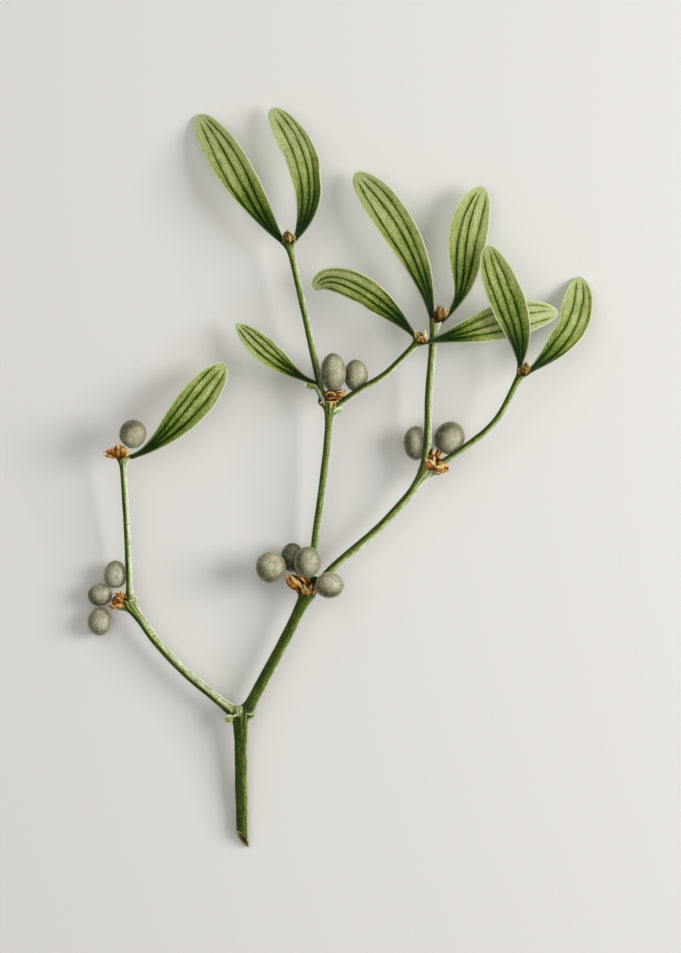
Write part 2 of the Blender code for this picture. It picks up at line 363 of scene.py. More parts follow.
floorMesh = bpy.data.meshes.new("floor")
half = floorValues["size"] / 2
corners = [(-half, -half), (half, -half), (half, half), (-half, half)]
floorMesh.from_pydata([(x, y, cadLow.z) for x, y in corners], [], [(0, 1, 2, 3)])
floorSettings = {"Base Color": floorValues["colour"], "Roughness": floorValues["roughness"]}
floorMesh.materials.append(newFinish("pale_floor", floorSettings)[0])
floor = bpy.data.objects.new("floor", floorMesh)
bpy.context.scene.collection.objects.link(floor)

for lightName, values in lightValues.items():
    lamp = bpy.data.lights.new(lightName, "AREA")
    lamp.shape = "RECTANGLE"
    lamp.size, lamp.size_y = values["size"]
    lamp.energy = values["power"]
    light = bpy.data.objects.new(lightName, lamp)
    light.location = values["place"]
    light.rotation_euler = Vector(values["place"]).to_track_quat("Z", "Y").to_euler()
    light.visible_camera = False
    bpy.context.scene.collection.objects.link(light)

world = bpy.data.worlds.new("studio")
world.use_nodes = True
for key, value in worldValues.items():
    world.node_tree.nodes["Background"].inputs[key].default_value = value
bpy.context.scene.world = world
print("camera, floor and lights set")


# stems, and the swollen forks and twig ends that each of them carries

# route and diameters in mm, as in the CAD; drawn = the route that is used here instead
# flares = how much wider the foot and the tip swell, as a share, and over how many mm
# sunk = mm that the foot runs back into its fork, groove = mm that the furrows are deep
# footShadeReach = mm over which the foot has painted shade, next to its fork
# sunny = how much paler painted light makes the side towards +X, as if lit from the right, paintedLightSpan =
# where across the stem (-1 to 1) that painted light starts and is full
stemUsual = {"sunk": 1.6, "groove": 0.05, "footShadeReach": 0.8}
stemValues = {
    "main_stem": {
        "route": [(-29.3, -113.0, 1.65), (-29.8, -92.0, 3.6), (-29.9, -71.2, 6.4)],
        "diameters": (3.6, 4.2), "flares": ((0.0, 4.0), (0.06, 6.0)), "sunny": 0.5, "paintedLightSpan": (-0.1, 1.15),
        "sunk": 0.0, "groove": 0.09,
    },
    "left_lower_branch": {
        "route": [(-33.0, -69.7, 6.4), (-45.0, -59.8, 6.2), (-55.0, -49.5, 6.2), (-62.9, -38.2, 6.6)],
        "diameters": (3.0, 2.8), "flares": ((0.16, 2.2), (0.1, 4.0)), "sunny": 0.8, "paintedLightSpan": (-0.62, 0.1),
        "sunk": 1.9, "groove": 0.07,
    },
    "left_upper_twig": {
        "route": [(-63.3, -35.9, 6.9), (-63.7, -24.0, 8.0), (-64.4, -10.0, 9.8), (-65.3, 5.0, 11.6)],
        "diameters": (2.1, 1.9), "flares": ((0.28, 2.0), (0.15, 2.5)), "sunny": 0.95,
        "paintedLightSpan": (-0.6, 0.6),
    },
    "right_lower_branch": {
        "route": [(-27.6, -69.3, 6.6), (-22.7, -60.0, 6.8), (-16.1, -47.5, 7.6), (-10.6, -36.0, 8.6)],
        "diameters": (3.6, 3.2), "flares": ((0.16, 2.4), (0.1, 6.0)), "sunny": 0.5, "paintedLightSpan": (-0.15, 1.1),
        "sunk": 1.8, "groove": 0.08,
    },
    "centre_stem": {
        "route": [
            (-10.2, -35.0, 8.4), (-8.5, -25.5, 6.9), (-7.1, -15.0, 7.6), (-4.6, 4.0, 9.8), (-3.1, 20.4, 11.8),
        ],
        "diameters": (2.3, 2.3), "flares": ((0.2, 2.0), (0.15, 4.0)), "sunny": 0.66, "paintedLightSpan": (-1.2, 1.1),
        "sunk": 1.0, "groove": 0.06,
    },
    "right_middle_branch": {
        "route": [
            (-7.0, -32.8, 8.7), (-1.6, -26.6, 7.8), (11.0, -15.7, 8.6), (20.4, -5.6, 9.6), (24.7, 1.0, 10.4),
        ],
        "diameters": (2.6, 2.7), "flares": ((0.22, 2.4), (0.1, 4.0)), "sunny": 0.8,
        "paintedLightSpan": (-0.85, 0.75), "sunk": 1.8, "groove": 0.06, "footShadeReach": 3.5,
    },
    "top_twig": {
        "route": [(-5.2, 23.4, 11.6), (-7.2, 32.5, 11.6), (-10.7, 49.0, 12.0), (-15.3, 69.6, 12.2)],
        "diameters": (2.1, 2.0), "flares": ((0.15, 2.0), (0.2, 3.0)), "sunny": 0.75,
        "paintedLightSpan": (-0.8, 0.85), "footShadeReach": 8.0,
    },
    "upper_right_twig": {
        "route": [(-0.5, 22.0, 12.6), (6.0, 26.4, 13.8), (13.5, 31.0, 14.6), (23.1, 40.4, 16.1)],
        "diameters": (2.0, 1.9), "flares": ((0.22, 2.0), (0.2, 2.0)), "sunny": 0.92,
        "paintedLightSpan": (-0.45, 0.9), "footShadeReach": 5.0,
    },
    "upright_twig": {
        "route": [(25.0, 2.3, 10.9), (26.1, 11.0, 11.4), (26.5, 25.0, 11.6), (28.1, 45.5, 12.7)],
        "diameters": (2.4, 2.3), "flares": ((0.14, 3.0), (0.1, 2.0)), "sunny": 0.78,
        "paintedLightSpan": (-0.66, 0.7), "sunk": 1.2, "groove": 0.06,
    },
    "far_right_twig": {
        "route": [(27.8, 2.7, 10.7), (37.0, 8.8, 11.2), (46.6, 17.2, 13.0), (54.0, 30.9, 14.9)],
        "diameters": (2.0, 2.0), "flares": ((0.16, 2.0), (0.15, 3.0)), "sunny": 0.68,
        "paintedLightSpan": (-0.66, 0.6), "sunk": 2.0, "footShadeReach": 4.5,
    },
    "side_spur": {
        "route": [(-6.6, 22.3, 10.4), (-7.7, 25.0, 9.8), (-9.2, 27.0, 9.8)],
        "drawn": [(-4.9, 22.3, 12.2), (-5.9, 24.6, 12.3), (-7.1, 26.9, 11.7), (-9.2, 28.0, 11.0)],
        "diameters": (1.6, 1.5), "flares": ((0.3, 1.2), (0.15, 1.0)), "sunny": 0.76, "paintedLightSpan": (-1.4, 0.1),
        "sunk": 1.0, "groove": 0.06, "footShadeReach": 2.4,
    },
}
# ridges = how much paler the ridges between the grooves are, as a painted highlight, tint = how much paler
# the whole fork's painted light is
# arm = (stem, mm along it or back from its tip, radii at the centre and the far end) or (point, radii)
knuckleUsual = {"groove": 0.08, "ridges": 0.0, "tint": 0.0}
knuckleValues = {
    "main_stem": {
        "centre": (-30.1, -71.7, 6.4), "groove": 0.26, "ridges": 0.34, "tint": -0.14,
        "arms": [
            ("main_stem", -8.0, 2.5, 2.02), ("left_lower_branch", 1.0, 2.0, 1.65),
            ("right_lower_branch", 1.0, 2.1, 1.9),
        ],
    },
    "left_lower_branch": {
        "centre": (-63.3, -38.3, 6.7), "groove": 0.17, "tint": -0.2,
        "arms": [
            ("left_lower_branch", -6.0, 1.75, 1.36), ("left_upper_twig", 1.0, 1.45, 1.25),
            ((-65.6, -38.7, 6.4), 1.5, 1.3),
        ],
    },
    "left_upper_twig": {
        "centre": (-65.2, 5.3, 11.7),
        "arms": [
            ("left_upper_twig", -3.5, 1.2, 0.95), ((-63.4, 5.9, 11.9), 0.95, 0.85),
            ((-66.3, 6.3, 12.1), 1.2, 1.15),
        ],
    },
    "right_lower_branch": {
        "centre": (-9.9, -34.9, 8.5), "groove": 0.12,
        "arms": [
            ("right_lower_branch", -8.0, 2.2, 1.55), ("right_middle_branch", 1.2, 1.9, 1.55),
            ("centre_stem", 2.2, 1.6, 1.3), ((-12.4, -33.4, 8.9), 1.6, 1.35),
            ((-7.7, -30.6, 8.2), 1.5, 1.0),
        ],
    },
    "centre_stem": {
        "centre": (-3.0, 21.3, 11.8), "groove": 0.14, "ridges": 0.35,
        "arms": [
            ("centre_stem", -5.5, 1.8, 1.12), ("top_twig", 0.8, 1.4, 1.2),
            ("upper_right_twig", 0.9, 1.4, 1.2), ((-5.8, 22.6, 11.3), 1.1, 0.95),
            ((-2.5, 23.2, 12.3), 1.5, 1.3),
        ],
    },
    "right_middle_branch": {
        "centre": (25.4, 1.5, 10.3), "tint": 0.1,
        "arms": [
            ("right_middle_branch", -6.0, 1.9, 1.3), ("upright_twig", 1.4, 1.6, 1.35),
            ("far_right_twig", 0.8, 1.5, 1.25), ((28.0, 2.2, 9.8), 1.7, 1.4),
        ],
    },
    "top_twig": {
        "centre": (-15.4, 69.9, 12.3),
        "arms": [
            ("top_twig", -4.0, 1.35, 0.97), ((-17.1, 70.6, 12.4), 1.15, 0.9),
            ((-14.0, 70.9, 12.6), 1.15, 0.9),
        ],
    },
    "upper_right_twig": {
        "centre": (23.4, 40.8, 16.2),
        "arms": [
            ("upper_right_twig", -3.5, 1.25, 0.92), ((22.4, 42.2, 16.4), 1.0, 0.82),
            ((24.9, 40.7, 16.3), 1.0, 0.82),
        ],
    },
    "upright_twig": {
        "centre": (28.3, 45.7, 12.8), "tint": 0.12,
        "arms": [
            ("upright_twig", -3.5, 1.4, 1.1), ((27.5, 47.0, 13.1), 1.05, 0.85),
            ((29.5, 46.4, 12.9), 1.1, 0.85),
        ],
    },
    "far_right_twig": {
        "centre": (54.3, 31.2, 15.0),
        "arms": [
            ("far_right_twig", -4.0, 1.3, 0.96), ((53.8, 33.0, 15.3), 1.0, 0.82),
            ((55.7, 31.5, 15.0), 1.05, 0.82),
        ],
    },
}
stemShared = {
    "columns": 48,
    "rowsPerMm": 1.6,
    "rowsMore": 12,
    "furrows": 9,  # round the stem
    "domeRows": 5,
    "domeLength": 0.45,  # share of the end's radius
    "unevenness": 0.03,  # share of the radius
    "underFade": 0.60,  # how much the painted light on the +X side fades below
    "paintedEdgeHighlight": 0.30,  # how pale the painted highlight line along the upper edge is
    "footShade": 0.85,
    "furrowShade": 0.22,
    "uvStart": 5.0,  # mm of the UV map before the stem's foot
    "uvLength": 80.0,  # mm of stem for the whole height of the UV map
}
knuckleShared = {
    "rows": 66,
    "columns": 92,
    "samples": 150,  # along each ray
    "softness": 0.42,  # mm that the arms melt into each other
    "furrows": 11,  # round the fork
    "hollowShade": 0.8,
    "furrowShade": 1.7,
    "uvHeight": 0.15,  # share of the UV map's height
}
cutValues = {
    "stem": "main_stem",
    "point": (-29.4, -109.0, 1.9),
    "direction": (-0.62, -0.62, 0.48),
    "blendRows": 14,
    "straightAt": 8.5,  # mm along the route where the rings are square again
    "rings": (0.10, 0.20, 0.30, 0.42, 0.55, 0.68, 0.80, 0.88, 0.94, 1.0),  # from pith to bark
    "dish": 0.8,  # mm the pith lies back
    "roughness": 0.05,  # share of the radius
    "pithShift": (0.45, -0.25, 0.1),  # mm from the middle of the cut
}
stemColours = {
    "dark": colour(42, 66, 8),
    "middle": colour(88, 110, 24),
    "light": colour(152, 166, 92),
    "pale": colour(208, 218, 168),
    "bright": colour(242, 246, 224),
    "ochre": colour(112, 100, 28),
    # near-black for the painted shade at forks and in furrows, and for dark grain flecks
    "well": colour(26, 26, 6),
    "pith": colour(52, 32, 12),
    "wood": colour(126, 116, 52),
    "rim": colour(192, 200, 146),
}


def makeStemFinish():
    # greens by painted light from the right + streaks + specks + grain, then ochre patches, dark flecks,
    # painted shade at the forks and in the furrows, and browns on the cut
    settings = {"Roughness": 0.5, "Specular IOR Level": 0.16, "Sheen Weight": 0.10, "Sheen Roughness": 0.35}
    material, tree = newFinish("stem_bark", settings)
    streaks = noise(tree, 1.0, 4, 0.65, (26, 14, 1), "UV")
    lines = noise(tree, 1.0, 3, 0.6, (44, 5, 1), "UV")
    patches = noise(tree, 420, 3, 0.5)
    specks = noise(tree, 2400, 2, 0.6)
    grain = noise(tree, 1250, 3, 0.65)
    lit = stirred(tree, markOf(tree, "sun"), [
        (streaks, 0.3, 0.7, -0.16, 0.20),
        (specks, 0.3, 0.7, -0.10, 0.10),
        (grain, 0.38, 0.60, -0.16, 0.12),
    ])
    # the painted light picks shaded and lit greens, from dark to bright
    stops = [(0.02, "dark"), (0.29, "middle"), (0.60, "light"), (0.86, "pale"), (1.0, "bright")]
    base = flecked(tree, ramp(tree, lit, stemColours, stops), stemColours, [
        (patches, 0.52, 0.70, 0.32, "ochre"),
        (lines, 0.56, 0.66, 0.60, "dark"),
        (specks, 0.54, 0.70, 0.55, "dark"),
        (grain, 0.53, 0.63, 0.45, "well"),
    ])
    # painted shade at the forks and in the furrows
    base = blend(tree, markOf(tree, "well"), base, stemColours["well"])
    heart = stirred(tree, markOf(tree, "heart"), [(specks, 0.3, 0.7, -0.08, 0.08)])
    cut = ramp(tree, heart, stemColours, [(0.52, "pith"), (0.70, "wood"), (0.82, "wood"), (0.92, "rim")])
    base = blend(tree, markOf(tree, "cut"), base, cut)
    normal = bumpOf(tree, specks, 0.25, 0.06, bumpOf(tree, streaks, 0.35, 0.15))
    linkFinish(tree, base, spread(tree, specks, 0.3, 0.8, 0.42, 0.7), normal)
    return material


def stemLine(node):
    # the spline through the stem's own route here, or through the CAD's where it has none
    values = stemValues[node]
    return splineLine(values.get("drawn", values["route"]))


def stemSpot(node, along):
    # the place that many mm along a stem, or back from its tip where the number is below zero
    line = stemLine(node)
    share = along / lineLength(line)
    return alongLine(line, np.array([share if along >= 0 else 1 + share]))[0]


def rightSign(side):
    # what turns a sideways direction towards +X
    return np.where(side[..., :1] < 0, -1, 1)


def paintedLightOn(values, across, height):
    # painted light as if from the right: a smooth step across the stem, paler towards +X, that fades below,
    # and a thin painted highlight line along the upper edge
    first, last = values["paintedLightSpan"]
    side = smoothStep(first, last, across) * (1 - stemShared["underFade"] * smoothStep(0.05, 0.85, -height))
    edge = smoothStep(0.76, 0.95, across) * smoothStep(-0.25, 0.10, height)
    return values["sunny"] * side + stemShared["paintedEdgeHighlight"] * edge


def stemRings(line, values, sunk, seed, detail):
    # ring point = centre + radius (cos a side + sin a up)
    # radius = straight taper (1 + flares) (1 + unevenness) - groove depth, depth = (1 - cos(furrows a)) / 2
    # detail is 1 for all of that, and 0 for the plain taper of the CAD
    length = lineLength(line)
    rows = int((length + sunk) * stemShared["rowsPerMm"]) + stemShared["rowsMore"]
    reached = np.linspace(-sunk, length, rows)
    centres = alongLine(line, reached / length)
    side, up = frameAlong(centres)[1:]
    a = around(stemShared["columns"]) - np.pi / 2
    first, last = values["diameters"]
    taper = (first + (last - first) * np.clip(reached / length, 0, 1)) / 2
    (foot, footReach), (tip, tipReach) = values["flares"]
    flare = foot * bell(reached, footReach) + tip * bell(length - reached, tipReach)
    uneven = stemShared["unevenness"] * wobble(reached * 0.22, seed)
    radius = taper * (1 + detail * flare) * (1 + detail * uneven)
    turn = 0.5 * wobble(reached * 0.05, seed + 2)[:, None]
    depth = 0.5 - 0.5 * np.cos(stemShared["furrows"] * (a + turn) + 1.3 * np.sin(a * 2 + seed))
    reach = radius[:, None] - detail * values["groove"] * depth
    grid = swept(centres, side, up, reach * np.cos(a), reach * np.sin(a))
    sun = paintedLightOn(values, np.cos(a) * rightSign(side), np.sin(a) * up[:, 2:])
    return grid, centres, reached, depth, sun


def domeRings(grid, centre, way, sizes):
    # rings that shrink as cos q while moving on by sin q, so an end closes round
    q = sizes[:, None, None] * np.pi / 2 * 0.98
    radius = np.linalg.norm(grid - centre, axis=-1).mean()
    return centre + (grid - centre) * np.cos(q) + way * radius * stemShared["domeLength"] * np.sin(q)


def meltedArms(points, arms):
    # smooth union of tapered capsules: -k log(sum of exp(-distance / k)), and each capsule's share in it
    k = knuckleShared["softness"]
    gaps = []
    for start, end, first, last in arms:
        way = end - start
        share = np.clip((points - start) @ way / (way @ way), 0, 1)
        away = np.linalg.norm(points - start - share[..., None] * way, axis=-1)
        gaps.append(away - (first + (last - first) * share))
    gaps = np.stack(gaps)
    nearest = gaps.min(0)
    powers = np.exp((nearest - gaps) / k)
    return nearest - k * np.log(powers.sum(0)), powers / powers.sum(0)


def knuckleGrid(centre, arms, pole, share=1.0):
    # a skin seen from its centre: along each ray of a globe, the last place that is inside the melted arms;
    # share = of a fork's rows and columns
    across = unit(np.cross(pole, [0.13, 0.21, 0.97]))
    p = np.linspace(0.02, np.pi - 0.02, int(knuckleShared["rows"] * share))[:, None]
    a = around(int(knuckleShared["columns"] * share))[None, :]
    rays = globeRays(pole, across, p, a)
    longest = max(np.linalg.norm(end - centre) + last for start, end, first, last in arms) + 0.5
    reach = np.linspace(0, longest, knuckleShared["samples"])
    inside = meltedArms(centre + rays[:, :, None, :] * reach[:, None], arms)[0]
    lastInside = len(reach) - 1 - np.argmax((inside < 0)[..., ::-1], axis=-1)
    lastInside = np.minimum(lastInside, len(reach) - 2)[..., None]
    here = np.take_along_axis(inside, lastInside, -1)[..., 0]
    beyond = np.take_along_axis(inside, lastInside + 1, -1)[..., 0]
    radius = (lastInside[..., 0] + np.clip(here / (here - beyond), 0, 1)) * reach[1]
    return rays, radius, p, a


def gridNormals(grid, centre):
    # the cross product of the two directions along the grid, turned away from the centre
    along = np.roll(grid, -1, axis=1) - np.roll(grid, 1, axis=1)
    normals = np.cross(np.gradient(grid, axis=0), along)
    normals = normals / (np.linalg.norm(normals, axis=-1, keepdims=True) + 1e-9)
    return normals * np.sign(((grid - centre) * normals).sum(-1, keepdims=True))


def makeKnuckle(node, values, seed):
    # point = centre + (radius of the melted arms - groove depth) ray, with depth = (1 - cos(furrows a)) / 2;
    # painted shade darkens the hollows between arms that stand apart, and each arm's painted light is shared
    # out by nearness
    centre = np.array(values["centre"])
    arms = []
    for arm in values["arms"]:
        end = stemSpot(arm[0], arm[1]) if isinstance(arm[0], str) else np.array(arm[0])
        arms.append((centre, end, arm[-2], arm[-1]))
    rays, radius, p, a = knuckleGrid(centre, arms, unit(centre - arms[0][1]))
    shares = meltedArms(centre + rays * radius[..., None], arms)[1]
    wave = np.cos(knuckleShared["furrows"] * a + 1.1 * np.sin(2 * a + seed) + 0.4 * np.sin(3 * p + seed))
    depth = 0.5 - 0.5 * wave
    swell = np.sin(np.clip(p, 0.6, 3.1)) * smoothStep(0.5, 1.1, p) * (1 - smoothStep(2.7, 3.0, p))
    radius = radius - values["groove"] * swell * depth
    grid = centre + rays * radius[..., None]
    normals = gridNormals(grid, centre)
    # painted light: a painted highlight on the ridges between the furrows, the fork's tint, and each arm's
    # painted light by its share
    sun = values["tint"] + values["ridges"] * swell * smoothStep(0.45, 1.0, wave)
    ways = unit(np.array([end - centre for start, end, first, last in arms]))
    sides = unit(np.cross(zUp, ways))
    sides = sides * rightSign(sides)
    for share, side, arm in zip(shares, sides, values["arms"]):
        owner = arm[0] if isinstance(arm[0], str) else node
        sun = sun + share * paintedLightOn(stemValues[owner], normals @ side, normals[..., 2])
    # painted shade in the crotches between arms that stand apart and in the furrows
    alike = ways @ ways.T
    apart = smoothStep(-0.4, 0.1, alike) * (1 - smoothStep(0.93, 0.99, alike))
    crotch = 2 * np.einsum("ij,iab,jab->ab", apart, shares, shares)
    widest = max(first for start, end, first, last in arms)
    crotch = smoothStep(0.35, 0.95, crotch) * smoothStep(1.05, 1.25, radius / widest)
    grooved = values["groove"] * swell * smoothStep(0.3, 1.0, depth)
    well = knuckleShared["hollowShade"] * crotch + knuckleShared["furrowShade"] * grooved
    return grid, {"sun": sun, "well": np.clip(well, 0, 0.85), "cut": 0.0, "heart": 1.0}


def cutFoot(grid, plain, centres, reached, marks):
    # the slanting cut: a square ring slid along the stem onto the cut's plane is the outline,
    # a sleeve joins the outline to that ring, and ever smaller outlines make the dished face
    point, direction = np.array(cutValues["point"]), unit(np.array(cutValues["direction"]))
    start = int(np.searchsorted(reached, cutValues["straightAt"]))
    way = unit(centres[start] - centres[0])
    ring, plainRing = grid[start], plain[start]
    outline = ring - ((ring - point) @ direction / (way @ direction))[:, None] * way
    plainOutline = plainRing - ((plainRing - point) @ direction / (way @ direction))[:, None] * way
    share = np.linspace(0, 1, cutValues["blendRows"], endpoint=False)[:, None, None]
    sleeve = outline + (ring - outline) * share
    middle = outline.mean(0) + np.array(cutValues["pithShift"])
    rings = np.array(cutValues["rings"])[:, None, None]
    rough = cutValues["roughness"] * wobble(np.arange(len(ring)) * 0.8, 3)[None, :, None] * (1 - rings)
    dish = -direction * cutValues["dish"] * (1 - smoothStep(0.35, 0.92, rings))
    face = middle + (outline - middle) * rings * (1 + rough) + dish
    skipped = len(face) + len(sleeve)
    rowsOf = np.concatenate([np.full(skipped, start), np.arange(start, len(reached))])
    marks = {name: value[rowsOf] for name, value in marks.items()}
    marks["cut"][:len(face)] = 1
    marks["heart"][:len(face)] = rings[:, :, 0]
    near = reached[start] * np.linspace(0, 1, skipped, endpoint=False)
    grid = np.concatenate([face, sleeve, grid[start:]])
    plain = np.concatenate([[plainOutline], plain[start:]])
    return grid, plain, np.concatenate([near, reached[start:]]), marks


def makeStem(node, values, seed, material):
    # the rings, a round dome at each open end or the slanting cut, and the fork as a second skin
    plain = stemRings(splineLine(values["route"]), values, 0.0, seed, 0)[0]
    grid, centres, reached, depth, sun = stemRings(stemLine(node), values, values["sunk"], seed, 1)
    # painted shade: darker at the foot next to its fork and in the furrows, less where the painted light is
    foot = stemShared["footShade"] * bell(reached - 0.2, values["footShadeReach"])[:, None] * (values["sunk"] > 0)
    well = foot * (0.45 + 0.55 * depth) + stemShared["furrowShade"] * depth
    well = np.clip(well, 0, 0.9) * (1 - 0.75 * sun)
    marks = {"sun": sun, "well": well, "cut": np.zeros_like(sun), "heart": np.ones_like(sun)}
    isCut = node == cutValues["stem"]
    if isCut:
        grid, plain, reached, marks = cutFoot(grid, plain, centres, reached, marks)
    sizes = np.linspace(0, 1, stemShared["domeRows"] + 1)[1:]
    rowsOf = np.arange(len(grid))
    foot = domeRings(grid[0], centres[0], unit(centres[0] - centres[1]), sizes[::-1])
    tip = domeRings(grid[-1], centres[-1], unit(centres[-1] - centres[-2]), sizes)
    grid = np.concatenate([grid, tip] if isCut else [foot, grid, tip])
    rowsOf = np.pad(rowsOf, (0 if isCut else len(foot), len(tip)), mode="edge")
    marks = {name: value[rowsOf] for name, value in marks.items()}
    v = (reached[rowsOf] + stemShared["uvStart"]) / stemShared["uvLength"]
    stretch, shift = nodeFit(plain, node)
    skins = [makeSkin(grid * stretch + shift, marks, v)]
    if node in knuckleValues:
        knob, marks = makeKnuckle(node, {**knuckleUsual, **knuckleValues[node]}, seed)
        v = np.linspace(0, knuckleShared["uvHeight"], len(knob))
        skins.append(makeSkin(knob * stretch + shift, marks, v))
    makePiece(node, skins, material)


stemFinish = makeStemFinish()
for seed, (node, values) in enumerate(stemValues.items()):
    makeStem(node, {**stemUsual, **values}, seed * 1.37 + 0.4, stemFinish)
print("stems made:", len(stemValues))


# leaves

# midrib corners, half width where widest, its place along the leaf, the two powers of the outline and
# the cup: as in the CAD; sunk = mm that the petiole runs back into its twig; pale = tint added to the tone
# veins = place across the blade (+1 left margin, -1 right margin, as the leaf points away) at 0.2, 0.55
# and 0.9 of the length, and how strong; soft = how broad and dark the shading beside the veins is
# dents = margin notches (which margin, place along, reach along, depth in mm)
# dusk = how much painted shade darkens the left margin, or the right one below zero, and how far along the
# leaf
leafUsual = {"sunk": 1.6, "pointed": 0.50, "dents": [], "dusk": (0.0, 0.4)}
leafValues = {
    "top_leaf_left": {
        "midrib": [(-17.2, 70.4, 12.4), (-22.5, 76.5, 14.5), (-35.6, 98.9, 8.0), (-43.2, 109.2, 0.4)],
        "widest": 5.5, "peak": 0.62, "slender": 0.85, "cup": 0.9, "soft": 1.3, "pale": 0.04,
        "veins": [(-0.12, -0.51, -0.56, 0.9), (0.38, 0.0, -0.2, 1.0), (0.86, 0.6, 0.26, 0.85)],
    },
    "top_leaf_right": {
        "midrib": [(-13.6, 71.4, 12.6), (-6.5, 83.5, 15.0), (-9.0, 96.0, 12.0), (-21.0, 111.0, 5.0)],
        "widest": 5.0, "peak": 0.6, "slender": 0.8, "cup": 0.8, "soft": 0.7, "pale": 0.04,
        "veins": [(-0.36, -0.57, -0.8, 0.7), (0.0, -0.16, -0.38, 0.95), (0.5, 0.4, 0.22, 0.85)],
        "dents": [(-1, 0.43, 0.075, 0.6), (1, 0.64, 0.09, 0.4)], "dusk": (-0.35, 0.45),
    },
    "upright_leaf_left": {
        "midrib": [(27.4, 46.8, 13.1), (26.0, 62.0, 16.0), (16.4, 79.0, 13.0), (4.2, 91.5, 6.0)],
        "widest": 5.4, "peak": 0.67, "slender": 1.0, "cup": 0.9, "soft": 0.8, "pale": -0.02,
        "veins": [(-0.32, -0.46, -0.55, 0.8), (0.12, 0.0, -0.04, 1.0), (0.7, 0.65, 0.45, 0.95)],
    },
    "upright_leaf_right": {
        "midrib": [(29.6, 46.1, 12.9), (42.6, 57.4, 12.0), (33.0, 68.0, 9.5), (42.9, 87.4, 6.5)],
        "widest": 5.8, "peak": 0.66, "slender": 1.8, "pointed": 0.53, "cup": 0.9, "soft": 0.9,
        "pale": -0.02,
        "veins": [(-0.27, -0.43, -0.6, 0.85), (0.17, 0.04, 0.03, 1.0), (0.8, 0.5, 0.38, 0.95)],
    },
    "inner_leaf_left": {
        "midrib": [(22.1, 42.4, 16.5), (12.0, 54.5, 18.0), (-5.0, 65.0, 14.0), (-7.6, 56.2, 8.0)],
        "widest": 4.3, "peak": 0.55, "slender": 1.0, "cup": 0.6, "soft": 0.9, "pale": 0.02,
        "veins": [
            (-0.75, -0.79, -0.72, 0.5), (-0.22, -0.2, -0.15, 0.95), (0.34, 0.29, 0.25, 1.0),
            (0.92, 0.84, 0.8, 0.8),
        ],
        "dents": [(1, 0.48, 0.05, 0.25)], "dusk": (0.2, 0.8),
    },
    "inner_leaf_right": {
        "midrib": [(25.1, 40.5, 16.3), (36.0, 42.2, 15.0), (52.0, 49.4, 12.8), (65.4, 49.3, 11.8)],
        "widest": 5.3, "peak": 0.62, "slender": 1.3, "pointed": 0.6, "cup": 0.6, "soft": 1.5, "pale": 0.14,
        "veins": [(-0.42, -0.5, -0.55, 0.9), (-0.08, 0.02, 0.2, 0.8), (0.42, 0.58, 0.66, 0.75)],
        "dusk": (-0.2, 0.35),
    },
    "far_leaf_left": {
        "midrib": [(53.6, 33.4, 15.4), (55.0, 46.0, 18.5), (47.6, 55.0, 18.5), (44.0, 69.3, 13.5)],
        "widest": 5.3, "peak": 0.55, "slender": 0.9, "cup": 0.9, "soft": 0.9, "pale": -0.1,
        "veins": [(-0.28, -0.37, -0.45, 0.8), (0.26, 0.09, -0.02, 0.9), (0.68, 0.56, 0.66, 0.9)],
    },
    "far_leaf_right": {
        "midrib": [(56.0, 31.4, 15.0), (65.0, 38.0, 15.0), (73.0, 46.5, 8.0), (71.8, 60.4, 0.4)],
        "widest": 4.9, "peak": 0.6, "slender": 1.1, "cup": 0.7, "soft": 0.8, "pale": -0.03,
        "veins": [(-0.41, -0.29, -0.3, 0.9), (0.46, 0.31, 0.32, 0.9), (-0.86, -0.79, -0.7, 0.6)],
        "dents": [(1, 0.52, 0.1, 0.95)],
    },
    "spur_leaf": {
        "midrib": [(-8.9, 28.8, 11.4), (-16.0, 31.8, 12.5), (-24.0, 39.0, 11.0), (-31.3, 46.2, 7.5)],
        "widest": 3.75, "peak": 0.58, "slender": 1.2, "pointed": 0.75, "cup": 0.6, "sunk": 2.4, "soft": 0.7,
        "pale": 0.06,
        "veins": [(-0.3, -0.52, -0.62, 0.85), (-0.17, -0.05, -0.2, 1.1), (0.45, 0.45, 0.45, 1.0)],
    },
    "left_leaf": {
        "midrib": [(-63.5, 6.0, 11.9), (-53.6, 8.4, 15.0), (-43.4, 23.2, 13.0), (-34.7, 34.2, 8.5)],
        "widest": 5.3, "peak": 0.65, "slender": 1.4, "pointed": 0.55, "cup": 0.8, "soft": 1.1, "pale": -0.1,
        "veins": [(-0.4, -0.45, -0.5, 1.0), (0.04, 0.09, 0.07, 0.95), (0.5, 0.5, 0.64, 0.85)],
    },
}
leafShared = {
    "rows": 112,
    "topColumns": 96,
    "underColumns": 24,
    "crowding": 0.65,  # rows lie closer together towards the tip
    "petioleHalfWidth": 0.75,
    "tipHalfWidth": 0.45,
    "tipRound": 0.985,  # where the tip starts to close
    "petioleRows": 6,
    "halfThickness": (0.62, 0.42, 0.22),  # at the petiole, the blade and the tip
    "plainHalfThickness": 0.45,  # of the blade in the CAD
    "grooveDepth": 0.20,
    "shoulderDepth": 0.14,
    "veinReach": (0.30, 0.85),  # mm from a vein's middle to where its line and its shading fade
    "waviness": 0.30,
    "tones": (0.12, 0.67, 0.22),  # of the foot, what the blade adds to it, and what the tip adds
    "veinShade": (0.50, 0.15),  # on the top and underneath
    "shoulderShade": (0.19, 0.05),
    "marginShade": 0.06,
}
leafColours = {
    "black": colour(8, 32, 0),
    "dark": colour(42, 68, 2),
    "olive": colour(86, 107, 26),
    "light": colour(142, 158, 76),
    "pale": colour(192, 202, 146),
    "straw": colour(160, 146, 78),
    "rust": colour(140, 100, 52),
    "rim": colour(220, 228, 186),
    "under": colour(150, 160, 92),
}


